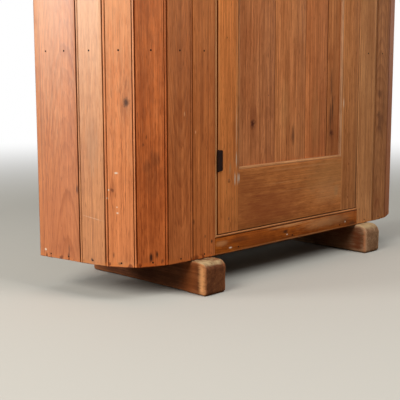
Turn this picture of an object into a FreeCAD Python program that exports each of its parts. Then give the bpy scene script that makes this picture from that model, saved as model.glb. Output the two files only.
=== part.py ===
import FreeCAD, Part
import math
import os

# Rounded-corner boarded cupboard on two runner feet, with one framed and panelled door.
#
# Frame: X across the front (0 at the door's centre line), Y from front to back, Z up, floor at Z = 0.
# The origin is the middle of the footprint. All lengths are millimetres.

V = FreeCAD.Vector

# ---- driving dimensions --------------------------------------------------------------------------
DOOR_W = 608.8              # width of the door
DOOR_GAP = 2.2              # clear gap all round the door
BEAD = 6.2                  # width of the bead strip that lines the door opening
BOARD_T = 20.0              # thickness of staves, side boards and case rails
STAVE_FACE = 80.0           # face width of one narrow stave
SIDE_FACE = 142.0           # face width of the wide board at the rear of each side
CORNER_TURNS = (0.0, 3.6, 18.8, 37.8, 17.6, 4.4)   # turn, in degrees, before each board from the door
RUNNER_H = 84.0             # height of the runner feet
RUNNER_W = 77.0
RUNNER_X = {"left": -360.0, "right": 344.5}        # centres of the runners from the door's centre line
RUNNER_NOSE = 48.5          # how far a runner stands out in front of the case
RUNNER_LENGTH = 442.0
RUNNER_SHORT = {"left": 0.0, "right": 8.0}         # how much shorter each end of a runner is worn
RUNNER_ROUND = {"left": 20.0, "right": 27.0}       # radius at the top of a runner's ends
CASE_H = 1290.0             # length of the staves
TOP_T = 26.0                # thickness of the top board
TOP_OVERHANG = 16.0
BOTTOM_RAIL_H = 46.0
TOP_RAIL_H = 70.0
SHELF_T = 20.0
LOWEST_SPACE = 484.0        # height of the space between the floor and the lowest shelf
FLOOR_T = 22.0
BACK_T = 16.0
BACK_BOARDS = 5
DOOR_T = 19.5
STILE_W = 77.5
DOOR_BOTTOM_RAIL = 160.0
DOOR_TOP_RAIL = 90.0
PANEL_T = 7.0
PANEL_RECESS = 7.5          # depth of the panel's face behind the frame's face
PANEL_HOUSING = 8.0         # how far the panel enters the frame's grooves
PANEL_JOINTS = (-74.0, 58.0, 158.5)     # where the four panel boards meet
MOULDING = 7.0              # width of the small moulding round the panel
HINGE_H = 52.8
HINGE_FROM_END = 188.5      # centre of each hinge from the door's nearer end
KNOB_Z = 800.0
KNOB_FROM_EDGE = 38.0
TONGUE_REACH = 62.0         # length of the turn tongue beyond its spindle

# ---- small shared sizes --------------------------------------------------------------------------
JOINT_GAP = 0.5             # half of the open joint between two boards
ARRIS = 0.9                 # eased edge of sawn boards
QUIRK = 1.7                 # width of the groove beside a bead
NAIL_R = 1.4
NAIL_HEAD_R = 2.5
NAIL_HEAD_T = 1.0
PIN_R = 1.6
RUNNING = 0.05              # radial clearance of a turning fit
BARREL_R = 3.4
BARREL_STANDOFF = 3.8       # hinge axis in front of the door's face
LEAF_T = 1.6
DOOR_LEAF_T = 2.2
DOOR_LEAF_W = 18.0
CASE_LEAF_D = 16.0
SCREW_R = 1.5
SCREW_HEAD_R = 3.2
SPINDLE_R = 4.0

# ---- places that follow from them ----------------------------------------------------------------
FRONT = RUNNER_NOSE - RUNNER_LENGTH / 2
DOOR_EDGE = DOOR_W / 2
BEAD_EDGE = DOOR_EDGE + DOOR_GAP
OPENING = BEAD_EDGE + BEAD
CASE_Z = RUNNER_H
CASE_TOP = CASE_Z + CASE_H
OPENING_Z0 = CASE_Z + BOTTOM_RAIL_H
OPENING_Z1 = CASE_TOP - TOP_RAIL_H
DOOR_Z0 = OPENING_Z0 + BEAD + DOOR_GAP
DOOR_Z1 = OPENING_Z1 - BEAD - DOOR_GAP
PANEL_X = DOOR_EDGE - STILE_W
PANEL_Z0 = DOOR_Z0 + DOOR_BOTTOM_RAIL
PANEL_Z1 = DOOR_Z1 - DOOR_TOP_RAIL
FLOOR_Z = CASE_Z + FLOOR_T
RIB_Z = CASE_TOP - SHELF_T
SHELF_PITCH = (RIB_Z - FLOOR_Z - LOWEST_SPACE) / 3
SHELF_Z = [FLOOR_Z + LOWEST_SPACE + SHELF_PITCH * step for step in (0, 1, 2)]
SHELF_SETBACK = 12.0        # shelves stand back from the door by this much more than the staves
HINGE_X = -(DOOR_EDGE + DOOR_GAP / 2)
HINGE_Y = FRONT - BARREL_STANDOFF
HINGE_Z = {"lower": DOOR_Z0 + HINGE_FROM_END, "upper": DOOR_Z1 - HINGE_FROM_END}
KNOB_X = DOOR_EDGE - KNOB_FROM_EDGE


# ---- plan of the case ----------------------------------------------------------------------------
def board_headings():
    """Heading of each board of the left side, from the door outwards, as a running sum of turns."""
    headings = []
    angle = 0.0
    for turn in CORNER_TURNS:
        angle += turn
        headings.append(math.radians(angle))
    return headings


HEADINGS = board_headings()
FACES = [STAVE_FACE] * 5 + [SIDE_FACE]


def along(heading):
    """Unit vector along a board's face, away from the door."""
    return V(-math.cos(heading), math.sin(heading), 0)


def outward(heading):
    """Unit vector out of a board's face."""
    return V(-math.sin(heading), -math.cos(heading), 0)


def plan_corners():
    """Joints of the left side's outer faces, from the opening's edge to the rear corner."""
    corners = [V(-OPENING, FRONT, 0)]
    for heading, face in zip(HEADINGS, FACES):
        corners.append(corners[-1] + along(heading) * face)
    return corners


CORNERS = plan_corners()
REAR = CORNERS[-1].y


def offset_corners(distance):
    """Plan corners moved out by distance (in, when it is negative)."""
    moved = [CORNERS[0] + outward(HEADINGS[0]) * distance]
    for index in range(1, len(FACES)):
        before = outward(HEADINGS[index - 1])
        after = outward(HEADINGS[index])
        moved.append(CORNERS[index] + (before + after) * (distance / (1 + before.dot(after))))
    moved.append(CORNERS[-1] + outward(HEADINGS[-1]) * distance)
    return moved


def cut_at_depth(points, depth):
    """Path of points, with its last stretch ended (or drawn on) at the given Y."""
    last = points[-1]
    before = points[-2]
    share = (depth - before.y) / (last.y - before.y)
    return points[:-1] + [before + (last - before) * share]


def mirrored(points):
    """Points reflected to the other side, in reverse order, so that a loop closes."""
    return [V(-point.x, point.y, point.z) for point in reversed(points)]


# ---- helpers -------------------------------------------------------------------------------------
def outline(start, moves):
    """Closed wire from start; a move is (end,) for a line and (via, end) for an arc."""
    edges = []
    here = start
    for move in moves:
        if len(move) == 1:
            edges.append(Part.makeLine(here, move[0]))
        else:
            edges.append(Part.Arc(here, move[0], move[1]).toShape())
        here = move[-1]
    if here.distanceToPoint(start) > 1e-6:
        edges.append(Part.makeLine(here, start))
    return Part.Wire(edges)


def prism(wire, sweep):
    """Solid swept from a closed wire."""
    return Part.Face(wire).extrude(sweep)


def slab(points, z0, z1):
    """Flat board with the given plan between two heights."""
    loop = [V(point.x, point.y, z0) for point in points]
    return prism(Part.makePolygon(loop + [loop[0]]), V(0, 0, z1 - z0))


def block(x0, x1, y0, y1, z0, z1):
    """Box between two corners."""
    return Part.makeBox(x1 - x0, y1 - y0, z1 - z0, V(x0, y0, z0))


def eased(shape, radius, chosen):
    """Shape with the edges that chosen(edge) picks rounded."""
    return shape.makeFillet(radius, [edge for edge in shape.Edges if chosen(edge)])


def runs_along(edge, axis):
    """True for a straight edge parallel to the axis, which is "x", "y" or "z"."""
    box = edge.BoundBox
    spans = {"x": box.XLength, "y": box.YLength, "z": box.ZLength}
    longest = spans.pop(axis)
    return longest > 1e-3 and max(spans.values()) < 1e-3


def in_front(edge):
    """True for an edge that lies in the plane of the front."""
    return abs(edge.BoundBox.YMin - FRONT) < 1e-3 and edge.BoundBox.YLength < 1e-3


def mirror(shape):
    """Shape reflected from the left side to the right."""
    return shape.mirror(V(0, 0, 0), V(1, 0, 0))


def nail(place, direction, length):
    """Cut nail with its flat head flush at place, driven along direction."""
    head = Part.makeCylinder(NAIL_HEAD_R, NAIL_HEAD_T, place, direction)
    shank = Part.makeCylinder(NAIL_R, length, place, direction)
    return head.fuse(shank).removeSplitter()


def screw(place, direction, length):
    """Countersunk slotted screw with its head flush at place, driven along direction."""
    depth = SCREW_HEAD_R - SCREW_R
    head = Part.makeCone(SCREW_HEAD_R, SCREW_R, depth, place, direction)
    shank = Part.makeCylinder(SCREW_R, length - depth, place + direction * depth, direction)
    return head.fuse(shank).removeSplitter()


def slotted(fastener, place, direction):
    """Screw with a driver slot cut across its head, level with the floor."""
    slot = Part.makeBox(2 * SCREW_HEAD_R + 1, 0.8, 1.2, V(-SCREW_HEAD_R - 0.5, -0.4, -0.6))
    slot.Placement = FreeCAD.Placement(place, FreeCAD.Rotation(V(0, 0, 1), direction))
    return fastener.cut(slot)


def without(shape, cutters):
    """Shape with the cutters that reach it taken away, or unchanged where none do."""
    near = [cutter for cutter in cutters if cutter.BoundBox.intersect(shape.BoundBox)]
    if not near:
        return shape
    return shape.cut(Part.makeCompound(near))


# ---- boards of the sides -------------------------------------------------------------------------
def edge_profile(beaded, slope):
    """Points of one edge, inner corner first, as (distance in from the joint, depth) moves."""
    inner = (JOINT_GAP + BOARD_T * slope, BOARD_T)
    if not beaded:
        return inner, [((JOINT_GAP + ARRIS * slope, ARRIS),), ((JOINT_GAP + ARRIS, 0.0),)]
    radius = BEAD / 2
    side = JOINT_GAP + radius * slope
    start = (side, radius)
    crown = (side + radius, 0.0)
    finish = (side + BEAD, radius)
    return inner, [(start,), (crown, finish), ((side + BEAD + QUIRK, 0.0),)]


def side_board(index, bead_near, bead_far):
    """One upright board of the left side, with a bead on the chosen edges of its face."""
    heading = HEADINGS[index]
    face = FACES[index]
    last = index == len(FACES) - 1
    slope_near = math.tan(math.radians(CORNER_TURNS[index]) / 2)
    slope_far = 0.0 if last else math.tan(math.radians(CORNER_TURNS[index + 1]) / 2)

    def spot(across, depth):
        flat = CORNERS[index] + along(heading) * across - outward(heading) * depth
        return V(flat.x, flat.y, CASE_Z)

    inner_near, near = edge_profile(bead_near, slope_near)
    inner_far, far = edge_profile(bead_far, slope_far)
    moves = [tuple(spot(*point) for point in move) for move in near]
    far_points = [tuple(spot(face - across, depth) for across, depth in move) for move in far]
    chain = [inner_far] + [point for move in far for point in move]
    moves.append((spot(face - chain[-1][0], chain[-1][1]),))
    if bead_far:
        start, (crown, finish), _ = far_points
        moves.append((spot(face - chain[-2][0], chain[-2][1]),))
        moves.append((crown, start[0]))
    else:
        moves.append(far_points[0])
    moves.append((spot(face - inner_far[0], inner_far[1]),))
    wire = outline(spot(*inner_near), moves)
    board = prism(wire, V(0, 0, CASE_H))
    if last:
        board = board.cut(block(-800, 0, REAR, REAR + 60, CASE_Z - 1, CASE_TOP + 1))
    return board


# ---- level boards --------------------------------------------------------------------------------
def rib_board(z0, thickness, setback):
    """Board cut to the inside of the case: the staves are nailed round its edge."""
    inner = cut_at_depth(offset_corners(-BOARD_T), REAR - BACK_T)
    half = [V(point.x, point.y, 0) for point in inner]
    if setback:
        nose = OPENING + setback
        half = [V(-nose, FRONT + BOARD_T + setback, 0), V(-nose, FRONT + BOARD_T, 0)] + half[1:]
    return slab(half + mirrored(half), z0, z0 + thickness)


def top_board():
    """Top with a fair curve at its corners and a rounded nose."""
    outer = cut_at_depth(offset_corners(TOP_OVERHANG), REAR)
    curve = Part.BSplineCurve()
    curve.interpolate(outer[1:6], InitialTangent=along(HEADINGS[0]), FinalTangent=along(HEADINGS[-1]))
    left = curve.toShape()
    right = mirror(left)
    front = Part.makeLine(outer[1], V(-outer[1].x, outer[1].y, 0))
    left_side = Part.makeLine(outer[5], outer[6])
    right_side = mirror(left_side)
    back = Part.makeLine(outer[6], V(-outer[6].x, outer[6].y, 0))
    wire = Part.Wire(Part.__sortEdges__([front, left, left_side, back, right_side, right]))
    wire.translate(V(0, 0, CASE_TOP))
    board = prism(wire, V(0, 0, TOP_T))
    nose = [
        edge
        for edge in board.Edges
        if edge.BoundBox.ZLength < 1e-3 and edge.BoundBox.YMin < REAR - 1
    ]
    return board.makeFillet(TOP_T * 0.3, nose)


# ---- back ----------------------------------------------------------------------------------------
def back_board(index):
    """One upright board of the back, housed between the side boards."""
    inner = offset_corners(-BOARD_T)
    face = cut_at_depth(inner, REAR - BACK_T)[-1].x
    rear = cut_at_depth(inner, REAR)[-1].x
    width = -2 * face / BACK_BOARDS
    x0 = face + width * index + JOINT_GAP
    x1 = face + width * (index + 1) - JOINT_GAP
    x0_rear = x0
    x1_rear = x1
    if index == 0:
        x0 = face
        x0_rear = rear
    if index == BACK_BOARDS - 1:
        x1 = -face
        x1_rear = -rear
    y0 = REAR - BACK_T
    plan = [V(x0, y0, 0), V(x1, y0, 0), V(x1_rear, REAR, 0), V(x0_rear, REAR, 0)]
    return slab(plan, CASE_Z, CASE_TOP)


# ---- feet ----------------------------------------------------------------------------------------
def runner(side):
    """Foot: a bar from front to back, its ends rounded over at the top."""
    top_r = RUNNER_ROUND[side]
    toe_r = 8.0
    front = FRONT - RUNNER_NOSE + RUNNER_SHORT[side]
    rear = front + RUNNER_LENGTH - 2 * RUNNER_SHORT[side]
    x0 = RUNNER_X[side] - RUNNER_W / 2
    bend = math.sqrt(0.5)

    def spot(y, z):
        return V(x0, y, z)

    def corner(y, z, toward_y, toward_z, radius):
        centre_y = y + toward_y * radius
        centre_z = z + toward_z * radius
        return spot(centre_y - toward_y * radius * bend, centre_z - toward_z * radius * bend)

    moves = [
        (spot(rear - toe_r, 0),),
        (corner(rear, 0, -1, 1, toe_r), spot(rear, toe_r)),
        (spot(rear, RUNNER_H - top_r),),
        (corner(rear, RUNNER_H, -1, -1, top_r), spot(rear - top_r, RUNNER_H)),
        (spot(front + top_r, RUNNER_H),),
        (corner(front, RUNNER_H, 1, -1, top_r), spot(front, RUNNER_H - top_r)),
        (spot(front, toe_r),),
        (corner(front, 0, 1, 1, toe_r), spot(front + toe_r, 0)),
    ]
    bar = prism(outline(spot(front + toe_r, 0), moves), V(RUNNER_W, 0, 0))
    return eased(bar, 5.0, lambda edge: edge.BoundBox.XLength < 1e-3)


# ---- strips mitred round an opening --------------------------------------------------------------
def mitred_frame(half_x, z0, z1, width, y0, y1):
    """Four strips that line an opening, with mitred corners, by side."""
    corners = {
        "left_low": (-half_x, z0),
        "right_low": (half_x, z0),
        "left_high": (-half_x, z1),
        "right_high": (half_x, z1),
    }

    def inside(name):
        x, z = corners[name]
        return (x - math.copysign(width, x), z + (width if z == z0 else -width))

    sides = {
        "left": ("left_low", "left_high"),
        "right": ("right_low", "right_high"),
        "bottom": ("left_low", "right_low"),
        "top": ("left_high", "right_high"),
    }
    strips = {}
    for side, (first, second) in sides.items():
        loop = [corners[first], corners[second], inside(second), inside(first)]
        points = [V(x, y0, z) for x, z in loop]
        strips[side] = prism(Part.makePolygon(points + [points[0]]), V(0, y1 - y0, 0))
    return strips


def long_front_edges(strip, y):
    """Long edges of a strip that lie at the given Y."""
    found = []
    for edge in strip.Edges:
        box = edge.BoundBox
        straight = box.XLength < 1e-3 or box.ZLength < 1e-3
        if box.YLength < 1e-3 and abs(box.YMin - y) < 1e-3 and straight:
            found.append(edge)
    return found


def opening_beads():
    """Bead strips round the door opening, each with a half-round nose flush with the front."""
    strips = mitred_frame(OPENING, OPENING_Z0, OPENING_Z1, BEAD, FRONT, FRONT + BOARD_T)
    return {
        side: strip.makeFillet(BEAD / 2 - 0.05, long_front_edges(strip, FRONT))
        for side, strip in strips.items()
    }


def panel_mouldings():
    """Small quarter-round mouldings between the door's frame and its panel."""
    y0 = FRONT + 1.5
    strips = mitred_frame(PANEL_X, PANEL_Z0, PANEL_Z1, MOULDING, y0, FRONT + PANEL_RECESS)
    rounded = {}
    for side, strip in strips.items():
        edges = long_front_edges(strip, y0)
        inner = min(edges, key=lambda edge: edge.Length)
        rounded[side] = strip.makeFillet(5.0, [inner])
    return rounded


# ---- door ----------------------------------------------------------------------------------------
RAIL_SPANS = {
    "bottom": (DOOR_Z0, PANEL_Z0),
    "top": (PANEL_Z1, DOOR_Z1),
}
TENON_SHOULDER = 20.0
PEG_R = 4.0
PEG_FROM_EDGE = 42.0
PEG_IN_TENON = 16.0         # from a tenon's edge to the middle of a peg


def tenon_span(name):
    """Heights between which a door rail's tenon runs."""
    z0, z1 = RAIL_SPANS[name]
    if name == "bottom":
        return z0 + TENON_SHOULDER, z1 - PANEL_HOUSING
    return z0 + PANEL_HOUSING, z1 - TENON_SHOULDER


def peg_places():
    """Centres of the pegs that pin the door's tenons."""
    places = []
    for side in (-1, 1):
        for name in RAIL_SPANS:
            low, high = tenon_span(name)
            for z in (low + PEG_IN_TENON, high - PEG_IN_TENON):
                places.append((side * (DOOR_EDGE - PEG_FROM_EDGE), z))
    return places


def door_pegs():
    """Wooden pegs through the door's mortise and tenon joints."""
    return [
        Part.makeCylinder(PEG_R, DOOR_T, V(x, FRONT, z), V(0, 1, 0))
        for x, z in peg_places()
    ]


def panel_space(y0, y1, reach):
    """Room that the panel takes in the frame, drawn out by reach on every side."""
    return block(-PANEL_X - reach, PANEL_X + reach, y0, y1, PANEL_Z0 - reach, PANEL_Z1 + reach)


def door_rail(name):
    """Rail of the door with a through tenon at each end and a groove for the panel."""
    z0, z1 = RAIL_SPANS[name]
    body = block(-PANEL_X, PANEL_X, FRONT, FRONT + DOOR_T, z0, z1)
    low, high = tenon_span(name)
    tenon_y = FRONT + PANEL_RECESS
    tenon = block(-DOOR_EDGE, DOOR_EDGE, tenon_y, tenon_y + PANEL_T, low, high)
    rail = body.fuse(tenon).removeSplitter()
    rail = rail.cut(panel_space(tenon_y, tenon_y + PANEL_T, PANEL_HOUSING))
    rail = eased(rail, ARRIS, lambda edge: in_front(edge) and runs_along(edge, "x"))
    return without(rail, door_pegs())


def door_stile(side, rails):
    """Upright of the door: side is -1 for the hinge stile and 1 for the lock stile."""
    x0, x1 = sorted((side * PANEL_X, side * DOOR_EDGE))
    stile = block(x0, x1, FRONT, FRONT + DOOR_T, DOOR_Z0, DOOR_Z1)
    stile = eased(stile, ARRIS, lambda edge: in_front(edge) and runs_along(edge, "z"))
    groove_y = FRONT + PANEL_RECESS
    stile = stile.cut(panel_space(groove_y, groove_y + PANEL_T, PANEL_HOUSING))
    return without(stile, rails + door_pegs())


def door_panel_board(index):
    """One upright board of the panel, with its meeting edges eased."""
    edges = [-PANEL_X - PANEL_HOUSING, *PANEL_JOINTS, PANEL_X + PANEL_HOUSING]
    y0 = FRONT + PANEL_RECESS
    x0 = edges[index] + (0.2 if index else 0.0)
    x1 = edges[index + 1] - (0.2 if index < len(PANEL_JOINTS) else 0.0)
    board = block(x0, x1, y0, y0 + PANEL_T, PANEL_Z0 - PANEL_HOUSING, PANEL_Z1 + PANEL_HOUSING)

    def meeting(edge):
        box = edge.BoundBox
        joint = any(abs(box.XMin - place) < 0.5 for place in PANEL_JOINTS)
        return joint and abs(box.YMin - y0) < 1e-3 and runs_along(edge, "z")

    return eased(board, ARRIS, meeting)


# ---- hinges --------------------------------------------------------------------------------------
KNUCKLE_H = HINGE_H / 3
KNUCKLE_GAP = 0.2


def barrel(z0, z1, bore):
    """One knuckle about the hinge axis."""
    outer = Part.makeCylinder(BARREL_R, z1 - z0, V(HINGE_X, HINGE_Y, z0))
    return outer, Part.makeCylinder(bore, z1 - z0, V(HINGE_X, HINGE_Y, z0))


def door_leaf_screw_spots(z):
    """Heads of the two screws in a door leaf."""
    return [V(HINGE_X + DOOR_LEAF_W * 0.62, FRONT - DOOR_LEAF_T, z + rise) for rise in (-17, 17)]


def case_leaf_screw_spots(z):
    """Heads of the two screws in a case leaf."""
    x = -BEAD_EDGE + LEAF_T
    return [V(x, FRONT + CASE_LEAF_D * 0.62, z + rise) for rise in (-17, 17)]


def door_leaf(z):
    """Leaf on the face of the hinge stile, with the middle knuckle."""
    low = z - KNUCKLE_H / 2 + KNUCKLE_GAP
    high = z + KNUCKLE_H / 2 - KNUCKLE_GAP
    outer, bore = barrel(low, high, PIN_R + RUNNING)
    clear = HINGE_X + BARREL_R + 0.5
    plate = block(clear, HINGE_X + DOOR_LEAF_W, FRONT - DOOR_LEAF_T, FRONT, z - HINGE_H / 2, z + HINGE_H / 2)

    def outer_corner(edge):
        return runs_along(edge, "y") and edge.BoundBox.XMin > HINGE_X + DOOR_LEAF_W - 1

    plate = eased(plate, 3.5, outer_corner)
    arm = block(HINGE_X, clear, FRONT - DOOR_LEAF_T, FRONT, low, high)
    leaf = plate.fuse([arm, outer]).cut(bore).removeSplitter()
    screws = [screw(spot, V(0, 1, 0), 15.0) for spot in door_leaf_screw_spots(z)]
    return without(leaf, screws)


def case_leaf(z):
    """Leaf in the gap beside the door, with the two end knuckles."""
    x0 = -BEAD_EDGE
    x1 = x0 + LEAF_T
    low = z - HINGE_H / 2
    high = z + HINGE_H / 2
    plate = block(x0, x1, FRONT + 0.6, FRONT + CASE_LEAF_D, low, high)
    leaf = plate
    bores = []
    for z0, z1 in ((low, z - KNUCKLE_H / 2), (z + KNUCKLE_H / 2, high)):
        outer, bore = barrel(z0, z1, PIN_R)
        arm = block(x0, x1, HINGE_Y, FRONT + 0.6, z0, z1)
        leaf = leaf.fuse([arm, outer])
        bores.append(bore)
    leaf = leaf.cut(Part.makeCompound(bores)).removeSplitter()
    screws = [screw(spot, V(-1, 0, 0), 16.0) for spot in case_leaf_screw_spots(z)]
    return without(leaf, screws)


def hinge_pin(z):
    """Pin with a small ball tip at each end."""
    tip = 2.2
    low = V(HINGE_X, HINGE_Y, z - HINGE_H / 2)
    high = V(HINGE_X, HINGE_Y, z + HINGE_H / 2)
    pin = Part.makeCylinder(PIN_R, HINGE_H, low)
    for end, direction in ((low, V(0, 0, -1)), (high, V(0, 0, 1))):
        ball = Part.makeSphere(tip, end, direction, 0, 90, 360)
        pin = pin.fuse(ball)
    return pin.removeSplitter()


def all_screws(spots_of, direction, length):
    """Screws of one leaf kind at both hinges."""
    screws = []
    for z in HINGE_Z.values():
        for spot in spots_of(z):
            screws.append(slotted(screw(spot, direction, length), spot, direction))
    return screws


# ---- latch ---------------------------------------------------------------------------------------
ROSE_R = 15.0
ROSE_T = 2.0
KNOB_R = 16.0
KNOB_LENGTH = 33.0
TONGUE_T = 5.0
TONGUE_W = 16.0
TONGUE_GAP = 2.0            # space between the door's back and the tongue


def revolve_y(points):
    """Solid turned about the knob's axis from (distance out of the door's face, radius) points."""
    face_y = FRONT - ROSE_T - 0.3
    spots = [V(KNOB_X + radius, face_y - out, KNOB_Z) for out, radius in points]
    curve = Part.BSplineCurve()
    curve.interpolate(spots)
    start = V(KNOB_X, spots[0].y, KNOB_Z)
    finish = V(KNOB_X, spots[-1].y, KNOB_Z)
    edges = [Part.makeLine(start, spots[0]), curve.toShape()]
    if spots[-1].distanceToPoint(finish) > 1e-6:
        edges.append(Part.makeLine(spots[-1], finish))
    edges.append(Part.makeLine(finish, start))
    face = Part.Face(Part.Wire(edges))
    return face.revolve(V(KNOB_X, 0, KNOB_Z), V(0, 1, 0), 360)


def latch_spindle():
    """Rod from inside the knob, through the lock stile, to the back of the tongue."""
    y0 = FRONT - ROSE_T - 0.3 - KNOB_LENGTH * 0.5
    y1 = FRONT + DOOR_T + TONGUE_GAP + TONGUE_T
    return Part.makeCylinder(SPINDLE_R, y1 - y0, V(KNOB_X, y0, KNOB_Z), V(0, 1, 0))


def spindle_bore():
    """Turning hole for the spindle through the door and the rose."""
    length = DOOR_T + ROSE_T + 2
    start = V(KNOB_X, FRONT - ROSE_T - 1, KNOB_Z)
    return Part.makeCylinder(SPINDLE_R + RUNNING, length, start, V(0, 1, 0))


def latch_knob():
    """Turned knob with a waisted neck and a domed head."""
    profile = [
        (0.0, KNOB_R * 0.62),
        (KNOB_LENGTH * 0.12, KNOB_R * 0.58),
        (KNOB_LENGTH * 0.34, KNOB_R * 0.46),
        (KNOB_LENGTH * 0.58, KNOB_R * 0.88),
        (KNOB_LENGTH * 0.76, KNOB_R),
        (KNOB_LENGTH * 0.92, KNOB_R * 0.78),
        (KNOB_LENGTH, KNOB_R * 0.30),
    ]
    return revolve_y(profile).cut(latch_spindle())


def latch_rose():
    """Round plate on the lock stile behind the knob."""
    disc = Part.makeCylinder(ROSE_R, ROSE_T, V(KNOB_X, FRONT - ROSE_T, KNOB_Z), V(0, 1, 0))
    rim = [edge for edge in disc.Edges if abs(edge.BoundBox.YMax - (FRONT - ROSE_T)) < 1e-3]
    return disc.makeFillet(0.8, rim).cut(spindle_bore())


def latch_tongue():
    """Turn tongue behind the door, upright when the door is free to open."""
    y0 = FRONT + DOOR_T + TONGUE_GAP
    half = TONGUE_W / 2
    left = KNOB_X - half
    right = KNOB_X + half
    top = KNOB_Z + TONGUE_REACH
    moves = [
        (V(KNOB_X, y0, KNOB_Z - half), V(right, y0, KNOB_Z)),
        (V(right, y0, top - half),),
        (V(KNOB_X, y0, top), V(left, y0, top - half)),
    ]
    return prism(outline(V(left, y0, KNOB_Z), moves), V(0, TONGUE_T, 0)).cut(latch_spindle())


# ---- nails ---------------------------------------------------------------------------------------
def level_centres():
    """Heights of the middles of all level boards."""
    shelves = [z + SHELF_T / 2 for z in SHELF_Z]
    return [CASE_Z + FLOOR_T / 2, *shelves, RIB_Z + SHELF_T / 2]


def stave_nails():
    """Nails from the faces of the side boards, rails and top into the level boards."""
    nails = []
    for index, heading in enumerate(HEADINGS):
        shares = (0.28, 0.72) if FACES[index] > 100 else (0.5,)
        for share in shares:
            foot = CORNERS[index] + along(heading) * (FACES[index] * share)
            for z in level_centres():
                left = nail(V(foot.x, foot.y, z), outward(heading) * -1, 42.0)
                nails += [left, mirror(left)]
    for z in (level_centres()[0], level_centres()[-1]):
        for x in (-OPENING * 0.72, 0.0, OPENING * 0.72):
            nails.append(nail(V(x, FRONT, z), V(0, 1, 0), 42.0))
    for x in (-OPENING * 1.6, -OPENING * 0.6, OPENING * 0.6, OPENING * 1.6):
        for y in (FRONT + 110, REAR - 60):
            nails.append(nail(V(x, y, CASE_TOP + TOP_T), V(0, 0, -1), 44.0))
    for x in RUNNER_X.values():
        for y in (FRONT + 70, REAR - 70):
            nails.append(nail(V(x, y, FLOOR_Z), V(0, 0, -1), 70.0))
    return nails


def back_nails():
    """Nails from the back boards into the rear edges of the level boards."""
    width = -2 * cut_at_depth(offset_corners(-BOARD_T), REAR - BACK_T)[-1].x / BACK_BOARDS
    nails = []
    for index in range(BACK_BOARDS):
        middle = width * (index - (BACK_BOARDS - 1) / 2)
        for offset in (-width * 0.32, width * 0.32):
            for z in level_centres():
                nails.append(nail(V(middle + offset, REAR, z), V(0, -1, 0), 36.0))
    return nails


# ---- the whole -----------------------------------------------------------------------------------
def case_nodes():
    """Every solid of the case, by node name."""
    front_nails = stave_nails()
    rear_nails = back_nails()
    case_screws = all_screws(case_leaf_screw_spots, V(-1, 0, 0), 16.0)
    cutters = front_nails + rear_nails + case_screws
    nodes = {}
    beads = {2: (True, False), 3: (True, False), 4: (True, True), 5: (False, True)}
    for index in range(len(FACES)):
        near, far = beads.get(index + 1, (False, False))
        board = side_board(index, near, far)
        name = "side_board" if index == 5 else f"stave_{index + 1}"
        nodes[f"left_{name}"] = board
        nodes[f"right_{name}"] = mirror(board)
    back = FRONT + BOARD_T
    rails = {
        "bottom_rail": block(-OPENING, OPENING, FRONT, back, CASE_Z, OPENING_Z0),
        "top_rail": block(-OPENING, OPENING, FRONT, back, OPENING_Z1, CASE_TOP),
    }
    for name, rail in rails.items():
        nodes[name] = eased(rail, ARRIS, lambda edge: in_front(edge) and runs_along(edge, "x"))
    for side, strip in opening_beads().items():
        nodes[f"opening_bead_{side}"] = strip
    nodes["floor_board"] = rib_board(CASE_Z, FLOOR_T, 0.0)
    for name, z in zip(("lower", "middle", "upper"), SHELF_Z):
        nodes[f"shelf_{name}"] = rib_board(z, SHELF_T, SHELF_SETBACK)
    nodes["top_rib"] = rib_board(RIB_Z, SHELF_T, 0.0)
    nodes["top_board"] = top_board()
    for index in range(BACK_BOARDS):
        nodes[f"back_board_{index + 1}"] = back_board(index)
    stop = 16.0
    lap = 12.0
    reach = OPENING - 30
    nodes["door_stop_bottom"] = block(-reach, reach, back, back + stop, FLOOR_Z, DOOR_Z0 + lap)
    nodes["door_stop_top"] = block(-reach, reach, back, back + stop, DOOR_Z1 - lap, RIB_Z)
    for side in RUNNER_X:
        nodes[f"runner_{side}"] = runner(side)
    nodes = {name: without(shape, cutters) for name, shape in nodes.items()}
    nodes["stave_nails"] = Part.makeCompound(front_nails)
    nodes["back_nails"] = Part.makeCompound(rear_nails)
    for name, z in HINGE_Z.items():
        nodes[f"hinge_{name}_case_leaf"] = case_leaf(z)
        nodes[f"hinge_{name}_pin"] = hinge_pin(z)
    nodes["case_hinge_screws"] = Part.makeCompound(case_screws)
    return nodes


def door_nodes():
    """Every solid of the door, by node name."""
    leaf_screws = all_screws(door_leaf_screw_spots, V(0, 1, 0), 15.0)
    rails = {name: door_rail(name) for name in RAIL_SPANS}
    stiles = {"hinge": door_stile(-1, list(rails.values())), "lock": door_stile(1, list(rails.values()))}
    nodes = {}
    for name, stile in stiles.items():
        nodes[f"door_{name}_stile"] = without(stile, leaf_screws + [spindle_bore()])
    for name, rail in rails.items():
        nodes[f"door_{name}_rail"] = rail
    for index in range(len(PANEL_JOINTS) + 1):
        nodes[f"door_panel_board_{index + 1}"] = door_panel_board(index)
    for side, strip in panel_mouldings().items():
        nodes[f"door_moulding_{side}"] = strip
    nodes["door_pegs"] = Part.makeCompound(door_pegs())
    for name, z in HINGE_Z.items():
        nodes[f"hinge_{name}_door_leaf"] = door_leaf(z)
    nodes["door_hinge_screws"] = Part.makeCompound(leaf_screws)
    nodes["latch_rose"] = latch_rose()
    return nodes


def latch_nodes():
    """Every solid that turns with the knob, by node name."""
    return {
        "latch_knob": latch_knob(),
        "latch_spindle": latch_spindle(),
        "latch_tongue": latch_tongue(),
    }


os.makedirs("parts", exist_ok=True)
for node, shape in {**case_nodes(), **door_nodes(), **latch_nodes()}.items():
    shape.exportStep(f"parts/{node}.step")
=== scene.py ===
import logging
import math
import random
from collections.abc import Callable, Iterator, Sequence
from contextlib import contextmanager
from dataclasses import dataclass, replace
from enum import Enum

import bmesh
import bpy
from mathutils import Euler, Matrix, Vector


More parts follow.
